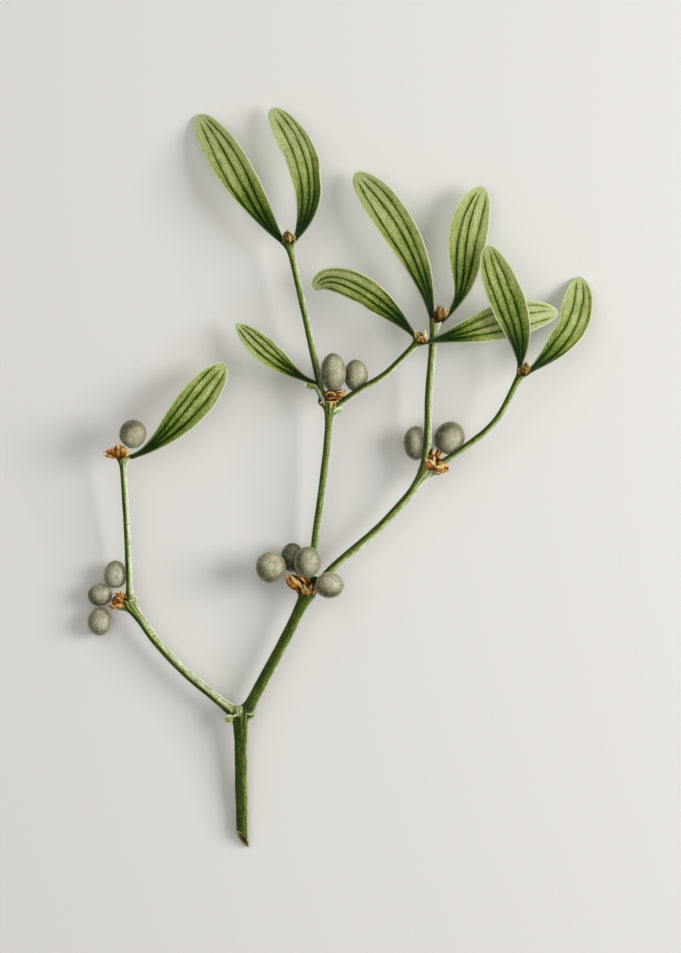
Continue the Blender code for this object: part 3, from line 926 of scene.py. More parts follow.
def makeLeafFinish():
    # greens by tone + mottle + fibres + grain + specks, then straw margins, rust dots, underside and pale rim
    settings = {
        "Roughness": 0.5,
        "Specular IOR Level": 0.10,
        "Subsurface Weight": 0.04,
        "Subsurface Scale": 1.0,
        "Subsurface Radius": (0.3 * mm, 0.6 * mm, 0.15 * mm),
    }
    material, tree = newFinish("leaf_blade", settings)
    mottle = noise(tree, 160, 4, 0.6)
    grain = noise(tree, 1700, 3, 0.7)
    specks = noise(tree, 3400, 2, 0.6)
    fibres = noise(tree, 1.0, 4, 0.65, (64, 6, 1), "UV")
    tone = stirred(tree, markOf(tree, "tone"), [
        (mottle, 0.3, 0.7, -0.05, 0.05),
        (fibres, 0.3, 0.7, -0.15, 0.15),
        (grain, 0.3, 0.7, -0.09, 0.09),
        (specks, 0.3, 0.7, -0.14, 0.14),
    ])
    stops = [(0.0, "black"), (0.25, "dark"), (0.5, "olive"), (0.76, "light"), (1.0, "pale")]
    base = ramp(tree, tone, leafColours, stops)
    flush = maths(tree, "MULTIPLY", markOf(tree, "margin"), spread(tree, mottle, 0.45, 0.62, 0.0, 0.50))
    dots = maths(tree, "MULTIPLY", spread(tree, grain, 0.55, 0.68), spread(tree, tone, 0.3, 0.7, 0, 0.35))
    layers = {"straw": flush, "rust": dots, "under": markOf(tree, "under"), "rim": markOf(tree, "rim")}
    for name, share in layers.items():
        base = blend(tree, share, base, leafColours[name])
    normal = bumpOf(tree, fibres, 0.25, 0.10, bumpOf(tree, grain, 0.30, 0.08))
    linkFinish(tree, base, spread(tree, grain, 0.3, 0.75, 0.42, 0.66), normal)
    return material


def halfWidth(t, values):
    # sine^slender up to the widest place, ellipse^pointed past it, joined to a thin petiole by a hypotenuse
    grow = np.sin(np.pi / 2 * np.clip(t / values["peak"], 0, 1)) ** values["slender"]
    past = np.clip((t - values["peak"]) / (1 - values["peak"]), 0, 1)
    blade = values["widest"] * grow * (1 - past**2) ** values["pointed"]
    thin = leafShared["petioleHalfWidth"] + (leafShared["tipHalfWidth"] - leafShared["petioleHalfWidth"]) * t
    closing = np.clip((t - leafShared["tipRound"]) / (1 - leafShared["tipRound"]), 0, 1)
    return np.hypot(blade, thin) * np.sqrt(1.0004 - closing**2)


def leafVeins(values, x, t, w, seed):
    # a vein's middle is a parabola through its three places; its line and its shading are bells across it
    lineReach, shadeReach = leafShared["veinReach"]
    u = (t - 0.55) / 0.35
    drawn = np.zeros_like(w)
    shaded = np.zeros_like(w)
    for k, (near, half, far, strong) in enumerate(values["veins"]):
        place = half + (far - near) / 2 * u + (near + far - 2 * half) / 2 * u**2
        offset = (x - place - 0.02 * wobble(t * 5, seed + k)) * w
        strength = strong * smoothStep(0.0, 0.06, t) * (1 - 0.95 * smoothStep(0.88, 0.985, t))
        strength = strength * (1 + 0.15 * wobble(t * 9, seed + 3 * k))
        drawn = np.maximum(drawn, strength * bell(offset, lineReach * (1.1 - 0.35 * t)))
        broad = shadeReach * np.where(offset * (k - 0.5) > 0, 1.15, 0.75) * (0.7 + 0.4 * values["soft"])
        shaded = np.maximum(shaded, strength * bell(offset, broad))
    return drawn, shaded


def leafTone(values, x, t, onTop, drawn, shaded, seed):
    # dark at the foot and paler to the tip, less the veins, the painted shading beside them, painted shade on
    # one side and a line beside each margin
    rim = np.abs(x)
    foot, blade, tip = leafShared["tones"]
    tone = foot + blade * smoothStep(0.0, 0.50, t) + tip * smoothStep(0.4, 1.0, t)
    tone = tone + values["pale"] * smoothStep(0.1, 0.5, t) + 0.03 * wobble(t * 6 + 2 * x, seed)
    tone = tone - np.where(onTop, *leafShared["veinShade"]) * drawn
    tone = tone - np.where(onTop, *leafShared["shoulderShade"]) * values["soft"] ** 0.5 * shaded
    # painted shade on one margin, towards the foot
    dusk, until = values["dusk"]
    darker = smoothStep(0.3, 0.95, x * np.sign(dusk)) * abs(dusk) * (1 - smoothStep(until, until + 0.25, t))
    line = smoothStep(0.78, 0.9, rim) * (1 - smoothStep(0.9, 1, rim))
    return np.clip(tone - darker - leafShared["marginShade"] * line, 0, 1.1)


def makeLeaf(node, values, seed, material):
    # blade point = midrib + x width side
    # + (face thickness edge(x) + cup (x width / widest)^2 + waves - grooves) up,
    # with x from +1 over the top face to -1 and back underneath
    s = np.linspace(0, 1, leafShared["rows"])
    t = s * (1 + leafShared["crowding"] - leafShared["crowding"] * s)
    line = bezierLine(values["midrib"])
    back = values["sunk"] / lineLength(line)
    t = np.concatenate([np.linspace(-back, 0, leafShared["petioleRows"], endpoint=False), t])
    middle = alongLine(line, t)
    side, up = frameAlong(middle)[1:]
    top = np.linspace(1, -1, leafShared["topColumns"], endpoint=False)
    under = np.linspace(-1, 1, leafShared["underColumns"], endpoint=False)
    x = np.concatenate([top, under])
    x = 0.75 * x + 0.25 * np.sin(np.pi / 2 * x)
    onTop = np.arange(len(x)) < len(top)
    face = np.where(onTop, 1, -1)
    t = np.clip(t, 0, 1)[:, None]
    plainWidth = x * halfWidth(t, values)
    w = halfWidth(t, values) * np.ones_like(x)
    for sign, place, reach, depth in values["dents"]:
        w = w - depth * bell(t - place, reach) * (np.sign(x) == sign)
    inBlade = smoothStep(0.15, 0.4, t) * (1 - smoothStep(0.8, 0.97, t))
    w = w + 0.10 * wobble(t * 7 + np.sign(x), seed) * inBlade
    petiole, blade, tip = leafShared["halfThickness"]
    thick = blade + (petiole - blade) * bell(t, 0.10) + (tip - blade) * smoothStep(0.6, 1.0, t)
    thick = np.minimum(thick, w * 0.85)
    edge = np.sqrt(np.clip(1 - np.abs(x) ** (2 + 2.5 * smoothStep(0.03, 0.2, t)), 0, 1))
    drawn, shaded = leafVeins(values, x, t, w, seed)
    groove = leafShared["grooveDepth"] * drawn + leafShared["shoulderDepth"] * shaded
    groove = groove * np.where(onTop, -1, 0.5)
    wave = np.abs(x) ** 3 * wobble(t * 6 + 1.5 * np.sign(x), seed) * smoothStep(0.1, 0.4, t)
    height = face * thick * edge + values["cup"] * (x * w / values["widest"]) ** 2
    height = height + leafShared["waviness"] * wave
    height = height + groove * np.minimum(1, edge * 3) * smoothStep(0.02, 0.1, t)
    grid = swept(middle, side, up, x * w, height)
    plainHeight = values["cup"] * (plainWidth / values["widest"]) ** 2
    plainHeight = plainHeight + face * leafShared["plainHalfThickness"]
    plain = swept(middle, side, up, plainWidth, plainHeight)
    stretch, shift = nodeFit(plain[leafShared["petioleRows"]:], node)
    marks = {
        "tone": leafTone(values, x, t, onTop, drawn, shaded, seed),
        "margin": smoothStep(0.6, 0.9, np.abs(x)) * smoothStep(0.2, 0.45, t),
        "rim": bell((1 - np.abs(x)) * w, 0.32) * (0.12 + 0.86 * smoothStep(0.02, 0.35, t)),
        "under": np.where(onTop, 0.0, 0.35),
    }
    makePiece(node, [makeSkin(grid * stretch + shift, marks, t[:, 0])], material)


leafFinish = makeLeafFinish()
for seed, (node, values) in enumerate(leafValues.items()):
    makeLeaf(node, {**leafUsual, **values}, seed * 2.11 + 1.0, leafFinish)
print("leaves made:", len(leafValues))


# berries

# pale = tint added to the tone, rim = how pale the painted highlight round the girth is
# dusk = the side that painted shade darkens (x, y), and how much; turn = degrees about Z that the longer side
# is turned
berryValues = {
    "left_tip_berry": {"pale": 0.0, "dusk": (-0.8, 0.75, 0.42), "rim": 0.18},
    "left_fork_berry_inner": {"pale": 0.16, "dusk": (-0.8, 0.2, 0.14), "rim": 0.28},
    "left_fork_berry_middle": {"pale": 0.07, "dusk": (-0.85, -0.5, 0.54), "rim": 0.22},
    "left_fork_berry_outer": {"pale": 0.05, "dusk": (-0.5, -0.8, 0.22), "rim": 0.4},
    "centre_fork_berry_left": {"pale": 0.06, "dusk": (-0.65, -0.8, 0.4), "rim": 0.45},
    "centre_fork_berry_back": {"pale": -0.54, "dusk": (-0.3, -0.9, 0.34), "rim": 0.4},
    "centre_fork_berry_front": {"pale": 0.01, "dusk": (-1.0, -0.2, 0.36), "rim": 0.62},
    "centre_fork_berry_right": {"pale": 0.04, "dusk": (-0.4, -0.95, 0.5), "rim": 0.72},
    "upper_fork_berry_front": {"pale": -0.04, "dusk": (-1.0, -0.3, 0.5), "rim": 0.4},
    "upper_fork_berry_back": {"pale": 0.02, "dusk": (-1.0, -0.2, 0.4), "rim": 0.54},
    "right_fork_berry_left": {"pale": 0.05, "dusk": (-1.0, -0.35, 0.54), "rim": 0.5},
    "right_fork_berry_right": {"pale": -0.02, "dusk": (-0.9, 0.5, 0.54), "rim": 0.62, "turn": -28},
}
berryShared = {
    "rows": 56,
    "columns": 76,
    "lumps": 0.012,  # share of the radius
    "scarDepth": 0.05,
    "scarReach": 0.14,  # radians from the pole
    "footDepth": 0.06,
    "footShade": 0.3,
    "tone": 0.47,
    "lit": 0.38,  # how much paler the painted highlight makes the palest side
    "litLean": 0.28,  # how far the painted highlight leans away from the painted shade
}
berryColours = {
    "shade": colour(56, 58, 34),
    "olive": colour(90, 91, 60),
    "skin": colour(128, 126, 94),
    "pearl": colour(168, 166, 134),
    "white": colour(196, 193, 168),
    "blush": colour(142, 128, 104),
    "rose": colour(178, 158, 140),
    "rim": colour(194, 194, 160),
    "scar": colour(62, 50, 26),
}


def makeBerryFinish():
    # pearly greys by tone + clouds + net + specks, the tone carrying painted shade and a painted highlight,
    # then pinkish blots, the painted highlight round the girth and the scars
    settings = {
        "Roughness": 0.4,
        "Specular IOR Level": 0.45,
        "Subsurface Weight": 0.25,
        "Subsurface Scale": 1.0,
        "Subsurface Radius": (1.2 * mm, 1.0 * mm, 0.6 * mm),
        "Sheen Weight": 0.45,
        "Sheen Roughness": 0.25,
    }
    material, tree = newFinish("berry_skin", settings)
    cloud = noise(tree, 300, 4, 0.6)
    blots = noise(tree, 620, 4, 0.65)
    net = noise(tree, 1500, 3, 0.65)
    specks = noise(tree, 3200, 2, 0.6)
    tone = stirred(tree, markOf(tree, "tone"), [
        (cloud, 0.3, 0.7, -0.12, 0.12),
        (net, 0.32, 0.68, -0.12, 0.12),
        (specks, 0.32, 0.68, -0.12, 0.12),
    ])
    stops = [(0.0, "shade"), (0.25, "olive"), (0.52, "skin"), (0.80, "pearl"), (1.0, "white")]
    base = flecked(tree, ramp(tree, tone, berryColours, stops), berryColours, [
        (blots, 0.50, 0.62, 0.55, "blush"),
        (net, 0.54, 0.68, 0.35, "rose"),
    ])
    # the painted highlight round the girth
    rim = maths(tree, "MULTIPLY", markOf(tree, "rim"), spread(tree, net, 0.35, 0.65, 1.1, 0.5))
    base = blend(tree, rim, base, berryColours["rim"])
    base = blend(tree, markOf(tree, "scar"), base, berryColours["scar"])
    linkFinish(tree, base, spread(tree, net, 0.3, 0.7, 0.38, 0.56), bumpOf(tree, net, 0.15, 0.06))
    return material


def makeBerry(node, values, seed, material):
    # unit ball in a frame whose pole points away from the bracts, r = 1 + lumps - scar pit + scar ring
    # - foot pit, then stretched to the CAD node's box
    pole = unit(nodeMiddle(node) - nodeMiddle(node.split("_berry")[0] + "_bracts"))
    p = np.linspace(np.pi, 0, berryShared["rows"] + 2)[1:-1, None]
    a = around(berryShared["columns"])[None, :]
    ball = globeRays(pole, unit(np.cross(pole, zUp)), p, a)
    lumps = np.sin(2 * a + seed) * np.sin(p) ** 2 + np.sin(3 * p + seed)
    lumps = lumps + 0.6 * np.sin(5 * a + 3 * p + seed) * np.sin(p) ** 2
    scar = bell(p, berryShared["scarReach"]) - 0.35 * bell(p - 1.7 * berryShared["scarReach"], 0.05)
    radius = 1 + berryShared["lumps"] * lumps - berryShared["scarDepth"] * scar
    radius = radius - berryShared["footDepth"] * bell(p - np.pi, 0.35)
    shaped = ball * radius[..., None]
    if "turn" in values:
        low, high = nodeBox(node)
        turn = np.radians(values["turn"])
        spin = np.array([[np.cos(turn), np.sin(turn), 0], [-np.sin(turn), np.cos(turn), 0], [0, 0, 1]])
        shaped = (shaped @ spin.T * (high - low) / (high - low).mean()) @ spin
    stretch, shift = nodeFit(shaped, node)
    normal = unit(ball / stretch)
    # painted shade on one side and a painted highlight leaning away from it
    shadeSideX, shadeSideY, dusk = values["dusk"]
    away = unit(np.array([shadeSideX, shadeSideY, -0.1]))
    tone = berryShared["tone"] + values["pale"] - dusk * smoothStep(-0.2, 1.0, normal @ away)
    lean = berryShared["litLean"]
    lit = unit(np.array([-lean * shadeSideX, -lean * shadeSideY, 1.0]))
    tone = tone + berryShared["lit"] * smoothStep(0.50, 1.0, np.abs(normal @ lit))
    # a painted highlight: a pale band round the girth, which from above reads as a lit rim
    height = normal[..., 2]
    girth = smoothStep(-0.75, 0.05, height) * (1 - smoothStep(0.22, 0.60, height))
    foot = bell(p - np.pi, 0.5)
    scar = bell(p, 0.11) + 0.5 * bell(p - 0.2, 0.06) * (0.5 + 0.5 * np.cos(4 * a))
    marks = {
        "tone": np.clip(tone - berryShared["footShade"] * foot, 0, 1.1),
        "scar": np.clip(scar, 0, 1) * 0.8,
        "rim": values["rim"] * girth * (0.85 + 0.15 * np.sin(2 * a + seed)) * (1 - foot),
    }
    makePiece(node, [makeSkin(shaped * stretch + shift, marks)], material)


berryFinish = makeBerryFinish()
for seed, (node, values) in enumerate(berryValues.items()):
    makeBerry(node, values, seed * 1.9, berryFinish)
print("berries made:", len(berryValues))


# dry scales: bracts at the forks, buds at the twig ends, collars at the old nodes

# every place is in mm from the middle of the CAD node
# core = lumps that the scales stand on (start, end, first radius, last radius), folds = how deep they fold
# ring = a cup of scales round an axis (start, end, radius at the feet, radius at the tips, how many)
# lips = rolled edges (route, radius, tone)
# scales = each scale's foot, tip, width and tone; tone 0 dark brown, 0.5 orange, 1 pale straw
# olive = how green the tone is
bractValues = {
    "left_fork_bracts": {
        "ring": ((1.3, -0.1, 0.4), (-0.9, 0.2, 0.0), 1.0, 2.2, 8),
        "core": [((1.6, -0.4, 0.8), (-0.5, 0.2, 0.6), 1.3, 1.6)],
        "lips": [
            ([(-0.2, -0.7, 2.3), (-1.0, -1.4, 2.2), (-2.0, -1.0, 2.0), (-2.4, -0.1, 1.7)], 0.26, 0.92),
            ([(0.9, 0.6, 2.7), (-0.1, 1.3, 2.8), (-1.1, 1.1, 2.5)], 0.24, 0.8),
        ],
        "scales": [
            ((1.5, 0.3, 1.4), (0.5, 3.8, 2.2), 1.9, 0.72), ((1.1, 0.1, 1.6), (-1.2, 2.7, 1.6), 1.9, 0.5),
            ((0.7, -0.3, 1.6), (-2.7, 0.8, 1.2), 1.8, 0.34),
            ((0.7, -0.7, 1.6), (-3.3, -1.2, 1.0), 1.7, 0.55),
            ((1.1, -1.2, 1.4), (-2.8, -2.3, 0.8), 1.4, 0.72),
            ((1.7, -1.4, 1.2), (-0.7, -2.5, 0.8), 1.4, 0.52),
            ((1.9, 0.1, 2.3), (-0.4, 1.3, 2.7), 1.4, 0.62), ((1.9, -0.7, 2.2), (-1.1, -0.9, 2.5), 1.3, 0.8),
            ((2.1, -1.3, 1.8), (0.1, -1.6, 2.2), 1.2, 0.4), ((2.3, 0.6, 1.9), (1.6, 2.6, 2.3), 1.2, 0.42),
        ],
    },
    "left_tip_bracts": {
        "ring": ((0.8, -1.0, -0.1), (0.7, 1.3, 0.5), 1.0, 2.0, 7),
        "core": [
            ((0.9, -0.6, 0.2), (0.8, 0.9, 0.7), 1.4, 1.6), ((0.2, 0.1, 0.0), (-2.3, 0.2, 0.1), 1.1, 0.7),
        ],
        "lips": [
            ([(-0.4, 0.7, 1.1), (-1.3, 0.8, 1.1), (-2.2, 1.1, 1.0), (-3.1, 1.6, 0.8)], 0.22, 0.92),
            ([(0.3, -1.2, 1.0), (-1.1, -1.3, 0.8), (-2.7, -1.0, 0.7), (-3.7, -0.4, 0.6)], 0.26, 0.98),
        ],
        "scales": [
            ((0.1, 0.1, 0.6), (-3.0, 1.4, 0.7), 1.3, 0.8), ((0.1, -0.6, 0.5), (-3.9, -0.6, 0.5), 1.5, 0.7),
            ((-0.1, 0.0, 1.0), (-4.0, 0.4, 1.0), 1.1, 0.56),
            ((-0.4, -0.2, 1.3), (-2.9, 0.0, 1.3), 0.5, 0.1),
            ((0.4, -0.8, 1.0), (-1.5, 2.0, 1.3), 1.7, 0.66),
            ((0.6, -0.9, 1.3), (-0.4, 2.4, 2.0), 1.9, 0.48), ((1.1, -0.9, 1.4), (1.0, 2.7, 2.3), 1.9, 0.58),
            ((1.7, -1.0, 1.3), (2.3, 2.3, 2.1), 1.9, 0.5), ((2.1, -1.1, 1.1), (3.3, 1.4, 1.7), 1.5, 0.6),
            ((0.4, 1.2, 2.1), (3.8, 1.3, 2.5), 1.5, 0.78), ((0.7, 0.7, 2.1), (-0.2, 3.3, 2.4), 0.9, 1.1),
            ((0.8, -1.0, 1.8), (0.4, 1.2, 2.7), 1.0, 0.72), ((1.5, -1.1, 1.8), (1.6, 1.0, 2.6), 1.0, 0.36),
            ((0.1, -1.0, 1.5), (-0.8, 0.9, 2.0), 1.1, 0.4), ((2.5, -1.1, 0.8), (4.2, 1.2, 1.1), 0.9, 1.0),
        ],
    },
    "centre_fork_bracts": {
        "ring": ((0.9, -1.4, -0.5), (-0.3, 1.8, -0.4), 1.0, 2.0, 8),
        "core": [
            ((4.3, -1.6, -0.1), (-0.7, 1.6, -0.3), 1.6, 1.3),
            ((4.3, -1.6, -0.1), (2.9, 2.0, -0.3), 1.5, 1.3),
            ((4.3, -1.6, -0.1), (5.7, -1.0, 0.3), 1.5, 1.2),
        ],
        "scales": [
            ((2.1, -1.8, 0.5), (-2.8, 1.1, 0.2), 1.7, 0.46),
            ((2.7, -1.3, 1.0), (-2.7, 2.3, 0.7), 1.7, 0.56),
            ((3.1, -0.8, 1.4), (-1.5, 3.5, 0.9), 1.3, 0.98), ((3.6, -0.5, 1.4), (-0.1, 4.3, 0.5), 1.5, 0.4),
            ((3.9, -0.4, 1.6), (0.7, 3.6, 1.3), 0.9, 0.9), ((4.3, -0.3, 1.3), (1.9, 4.3, 0.5), 1.5, 0.34),
            ((4.8, -0.6, 1.1), (3.7, 3.8, 0.2), 1.5, 0.46), ((-0.9, 1.2, 0.2), (-3.3, 2.9, 0.4), 0.9, 1.0),
            ((1.5, -1.6, -0.1), (-1.4, -0.2, -0.3), 1.2, 0.66),
            ((2.1, -2.4, 0.2), (0.2, -0.9, 0.1), 1.0, 0.44),
            ((3.1, -3.1, 0.8), (2.3, -0.5, 1.7), 1.2, 0.84),
            ((3.6, -3.6, 0.9), (3.8, -1.0, 1.9), 1.1, 0.66),
            ((4.2, -3.5, 1.0), (4.7, -1.0, 2.1), 1.0, 0.98),
            ((4.8, -3.5, 0.8), (5.4, -0.9, 1.8), 1.1, 0.74),
            ((5.4, -3.1, 0.5), (6.4, -1.3, 1.4), 1.0, 0.92),
            ((5.7, -2.6, 0.4), (7.0, -0.7, 1.0), 1.1, 0.64), ((4.3, -2.0, 1.8), (3.0, 0.1, 2.4), 1.0, 1.02),
            ((5.1, -1.9, 1.7), (5.3, 0.2, 2.1), 1.1, 0.74), ((5.6, -1.7, 1.4), (6.4, 0.0, 1.6), 0.9, 0.56),
            ((2.9, -1.8, 1.6), (0.8, 0.8, 2.1), 0.8, 0.86),
        ],
    },
    "upper_fork_bracts": {
        "olive": 0.05, "ring": ((-0.05, -1.1, -1.0), (0.05, 1.3, -0.8), 1.0, 2.0, 7),
        "core": [
            ((-0.05, -1.5, -1.0), (0.15, 1.1, -0.9), 1.5, 1.6),
            ((-0.25, -0.5, -0.9), (-1.95, 0.3, -1.1), 1.2, 0.9),
            ((0.15, -0.5, -0.8), (2.75, 0.5, -0.8), 1.2, 0.9),
        ],
        "lips": [
            ([(-2.15, 0.1, 0.2), (-1.05, 1.0, 0.8), (0.35, 0.7, 1.0), (1.05, -0.3, 1.0)], 0.26, 0.95),
            ([(-1.85, -0.7, 0.4), (-0.65, -0.8, 1.0), (0.65, -0.6, 1.1), (1.75, -0.9, 0.7)], 0.24, 0.62),
            ([(0.95, 1.1, 0.8), (2.15, 1.3, 0.8), (3.65, 0.9, 0.4), (5.15, 1.2, 0.1)], 0.22, 0.98),
            ([(1.35, 0.2, 1.0), (2.45, 0.4, 1.0), (3.55, -0.1, 0.5)], 0.28, 0.74),
            ([(-2.25, -1.6, 0.0), (-0.85, -1.9, 0.7), (0.55, -1.8, 0.8), (1.95, -1.4, 0.4)], 0.3, 0.86),
            ([(-2.55, -1.5, -0.3), (-3.35, -1.9, -0.4), (-4.05, -2.5, -0.7)], 0.22, 1.1),
        ],
        "scales": [
            ((-1.25, -1.4, 0.0), (-3.05, 1.9, -0.4), 1.4, 0.26),
            ((-0.65, -1.1, 0.3), (-1.45, 2.3, -0.4), 1.5, 0.4),
            ((0.45, -0.9, 0.4), (0.85, 2.5, -0.6), 1.5, 0.34),
            ((0.75, -1.3, 0.4), (2.75, 2.1, -0.4), 1.5, 0.2),
            ((1.15, -1.1, 0.4), (3.95, 1.9, -0.1), 1.2, 0.58),
            ((0.15, -1.5, 0.8), (-1.85, -0.9, 0.6), 1.0, 0.3),
            ((0.55, -1.4, 0.9), (2.55, -0.7, 0.8), 1.1, 0.38),
            ((-0.55, -1.4, 0.6), (-0.85, -3.8, 0.5), 1.1, 1.0),
            ((0.55, -1.7, 0.6), (0.95, -3.1, 0.6), 0.9, 0.6),
        ],
    },
    "right_fork_bracts": {
        "olive": 0.1, "ring": ((-0.8, 0.1, 1.0), (1.7, 0.7, 0.8), 1.0, 1.6, 8),
        "core": [
            ((-1.6, 0.9, 3.0), (2.6, 0.7, 2.5), 1.5, 1.3), ((-1.0, 2.5, 3.2), (0.0, 4.3, 2.9), 1.3, 1.2),
        ],
        "lips": [
            ([(-1.3, 0.1, 4.4), (0.3, -0.6, 4.0), (2.3, -0.8, 3.0), (4.0, -0.1, 2.5)], 0.2, 0.98),
        ],
        "scales": [
            ((-1.4, 3.7, 4.5), (-0.9, 6.8, 4.3), 1.5, 0.06), ((-1.0, 4.2, 4.6), (0.2, 6.5, 4.5), 1.0, 1.02),
            ((-0.2, 4.1, 4.1), (0.6, 6.4, 3.7), 1.1, 0.06), ((0.0, 4.8, 3.9), (2.4, 5.7, 3.4), 1.4, 0.3),
            ((0.2, 4.0, 4.3), (1.4, 5.7, 4.2), 0.9, 0.58), ((0.5, 3.6, 4.3), (2.7, 4.7, 4.2), 1.0, 0.96),
            ((0.1, 3.2, 4.2), (1.8, 3.9, 4.2), 1.1, 0.12), ((-0.8, 3.0, 4.5), (0.7, 4.5, 4.7), 1.3, 0.2),
            ((-1.4, 2.9, 4.7), (-0.6, 5.1, 5.0), 1.4, 0.34),
            ((-1.9, 3.1, 4.8), (-1.3, 5.0, 4.8), 1.0, 0.48),
            ((-0.3, 4.4, 5.1), (-0.1, 2.3, 5.2), 0.8, 1.15), ((-0.3, 1.7, 4.3), (3.0, 2.3, 3.9), 1.3, 0.52),
            ((0.4, 1.2, 4.2), (4.3, 1.3, 3.3), 1.3, 0.84), ((0.0, 0.4, 3.9), (4.3, 0.2, 3.0), 1.5, 0.62),
            ((-0.1, 1.7, 4.7), (-1.3, 3.3, 5.2), 0.8, 0.26), ((-1.2, 0.3, 4.5), (-3.1, 2.2, 4.9), 1.0, 0.4),
            ((-0.6, 0.6, 4.5), (-3.1, 2.8, 5.1), 1.2, 0.66), ((0.0, 1.0, 4.6), (-2.3, 3.3, 5.4), 1.4, 1.05),
            ((-2.2, 2.5, 5.0), (-3.2, 3.8, 5.0), 0.8, 1.1), ((-0.4, 0.9, 4.6), (2.8, 0.6, 4.5), 1.3, 1.1),
            ((-0.8, 0.4, 4.4), (2.4, -0.2, 4.0), 1.2, 0.46), ((0.2, 1.3, 4.6), (1.4, 2.0, 4.9), 0.9, 0.3),
        ],
    },
}
budValues = {
    "top_bud": {
        "olive": 0.9, "ring": ((0.1, -2.0, -0.7), (-0.1, 0.3, -0.4), 0.9, 0.9, 3),
        "core": [((0.1, -1.6, -0.6), (0.0, -0.4, -0.2), 1.2, 1.0)],
        "lips": [
            ([(-0.3, 1.8, 0.5), (0.5, 1.3, 0.8), (1.3, 0.7, 0.9), (1.7, -0.1, 0.7)], 0.16, 1.0),
            ([(-1.3, -1.5, 0.5), (-0.7, -2.0, 0.9), (0.2, -2.2, 1.1), (0.8, -1.9, 0.9)], 0.13, 0.55),
        ],
        "scales": [
            ((0.0, -1.8, 0.0), (-0.2, 2.1, 0.3), 3.0, 0.54), ((0.6, -1.6, 0.3), (1.7, 0.8, 0.6), 1.8, 0.66),
            ((-0.6, -2.0, 0.4), (-1.3, 0.8, 0.5), 1.6, 0.5),
            ((0.0, -2.0, 0.8), (-0.1, 1.1, 1.0), 1.5, 0.08),
            ((-0.5, -2.1, 1.0), (-0.6, 0.7, 1.2), 1.1, 0.46), ((0.4, -2.1, 1.1), (0.3, 0.5, 1.5), 0.9, 1.0),
            ((1.1, -2.3, 0.5), (1.8, -0.6, 0.4), 1.3, 0.14),
            ((-0.9, -2.3, 0.7), (-1.3, -0.8, 0.9), 1.0, 0.5),
            ((0.9, -2.6, 0.1), (2.1, -1.8, 0.0), 0.7, 0.8),
        ],
    },
    "inner_bud": {
        "olive": 0.65, "ring": ((-0.1, -1.8, -0.4), (0.0, 0.0, -0.1), 0.9, 1.1, 3),
        "core": [((-0.1, -1.6, -0.2), (0.0, -0.6, 0.1), 1.3, 1.1)],
        "scales": [
            ((-0.1, -1.6, 0.3), (-0.2, 0.9, 0.5), 3.0, 0.3),
            ((-0.7, -2.1, 0.6), (-1.6, 1.6, 1.0), 1.2, 0.9), ((0.6, -1.8, 0.7), (1.2, 1.6, 1.1), 1.3, 1.16),
            ((-0.1, -1.6, 0.9), (0.0, 0.4, 1.2), 1.9, 0.1), ((-0.4, -1.4, 1.1), (-0.5, 0.6, 1.6), 0.9, 0.6),
            ((0.3, -1.5, 1.1), (0.4, 0.3, 1.6), 0.8, 0.3), ((0.0, -2.4, 1.6), (0.1, -0.5, 2.3), 3.0, 0.58),
            ((0.6, -2.3, 1.1), (1.2, -0.9, 1.5), 1.3, 0.4),
            ((-0.7, -2.4, 1.0), (-1.1, -0.7, 1.6), 1.3, 0.5),
            ((0.9, -2.0, 0.5), (2.1, -0.8, 0.9), 1.1, 0.92),
        ],
    },
    "upright_bud": {
        "olive": 0.5, "ring": ((-0.6, -2.4, -0.7), (0.4, 0.6, -0.1), 0.7, 1.2, 3),
        "core": [((-0.6, -2.0, -0.5), (0.4, 0.1, -0.1), 0.9, 1.2)],
        "scales": [
            ((-0.7, -2.3, -0.3), (-0.4, 2.6, 0.5), 2.3, 0.56),
            ((-0.1, -2.2, -0.3), (2.0, 1.7, 0.3), 2.3, 0.6),
            ((-0.4, -2.1, 0.1), (0.8, 2.5, 0.8), 1.7, 0.52),
            ((0.5, -1.5, -0.6), (3.0, 1.2, -0.2), 1.3, 0.74),
            ((-1.0, -2.3, 0.0), (-1.5, 0.9, 0.4), 1.2, 0.6),
            ((-0.7, -2.4, 0.4), (-0.6, 1.1, 1.1), 1.6, 0.1), ((0.1, -2.3, 0.4), (1.5, 0.8, 1.0), 1.7, 0.16),
            ((-0.3, -2.5, 0.8), (0.4, 1.4, 1.6), 1.3, 0.6), ((0.0, -2.5, 0.6), (1.1, -0.2, 1.1), 1.0, 0.4),
            ((-0.7, -2.9, -0.1), (-0.5, -1.5, 0.7), 1.2, 0.5),
        ],
    },
    "far_bud": {
        "olive": 0.8, "ring": ((-0.2, -2.0, -0.8), (0.0, -0.1, -0.4), 0.8, 0.9, 3),
        "core": [((-0.2, -1.6, -0.7), (0.0, -0.3, -0.3), 1.0, 0.9)],
        "lips": [
            ([(-0.4, -2.5, 1.2), (0.3, -1.7, 1.4), (1.0, -0.8, 1.0)], 0.14, 0.7),
            ([(0.5, 1.5, 0.6), (1.1, 1.0, 0.6), (1.3, 0.3, 0.5), (1.1, -0.4, 0.4)], 0.14, 1.05),
            ([(-2.8, -0.8, -0.1), (-2.1, -1.2, 0.1), (-1.4, -1.8, 0.2)], 0.13, 0.85),
        ],
        "scales": [
            ((-0.1, -2.2, 0.1), (0.3, 1.7, 0.6), 2.5, 0.5), ((0.4, -2.1, 0.4), (0.8, 1.0, 0.8), 1.4, 0.6),
            ((0.0, -2.6, -0.2), (1.2, -1.2, -0.1), 1.3, 0.16),
            ((-0.8, -2.4, 0.5), (-1.8, -0.3, 0.8), 1.6, 0.46),
            ((-0.3, -2.8, 0.9), (-0.5, 0.4, 1.4), 2.8, 0.5),
            ((-0.1, -2.6, 1.4), (0.2, -0.1, 1.9), 0.9, 0.66),
        ],
    },
}
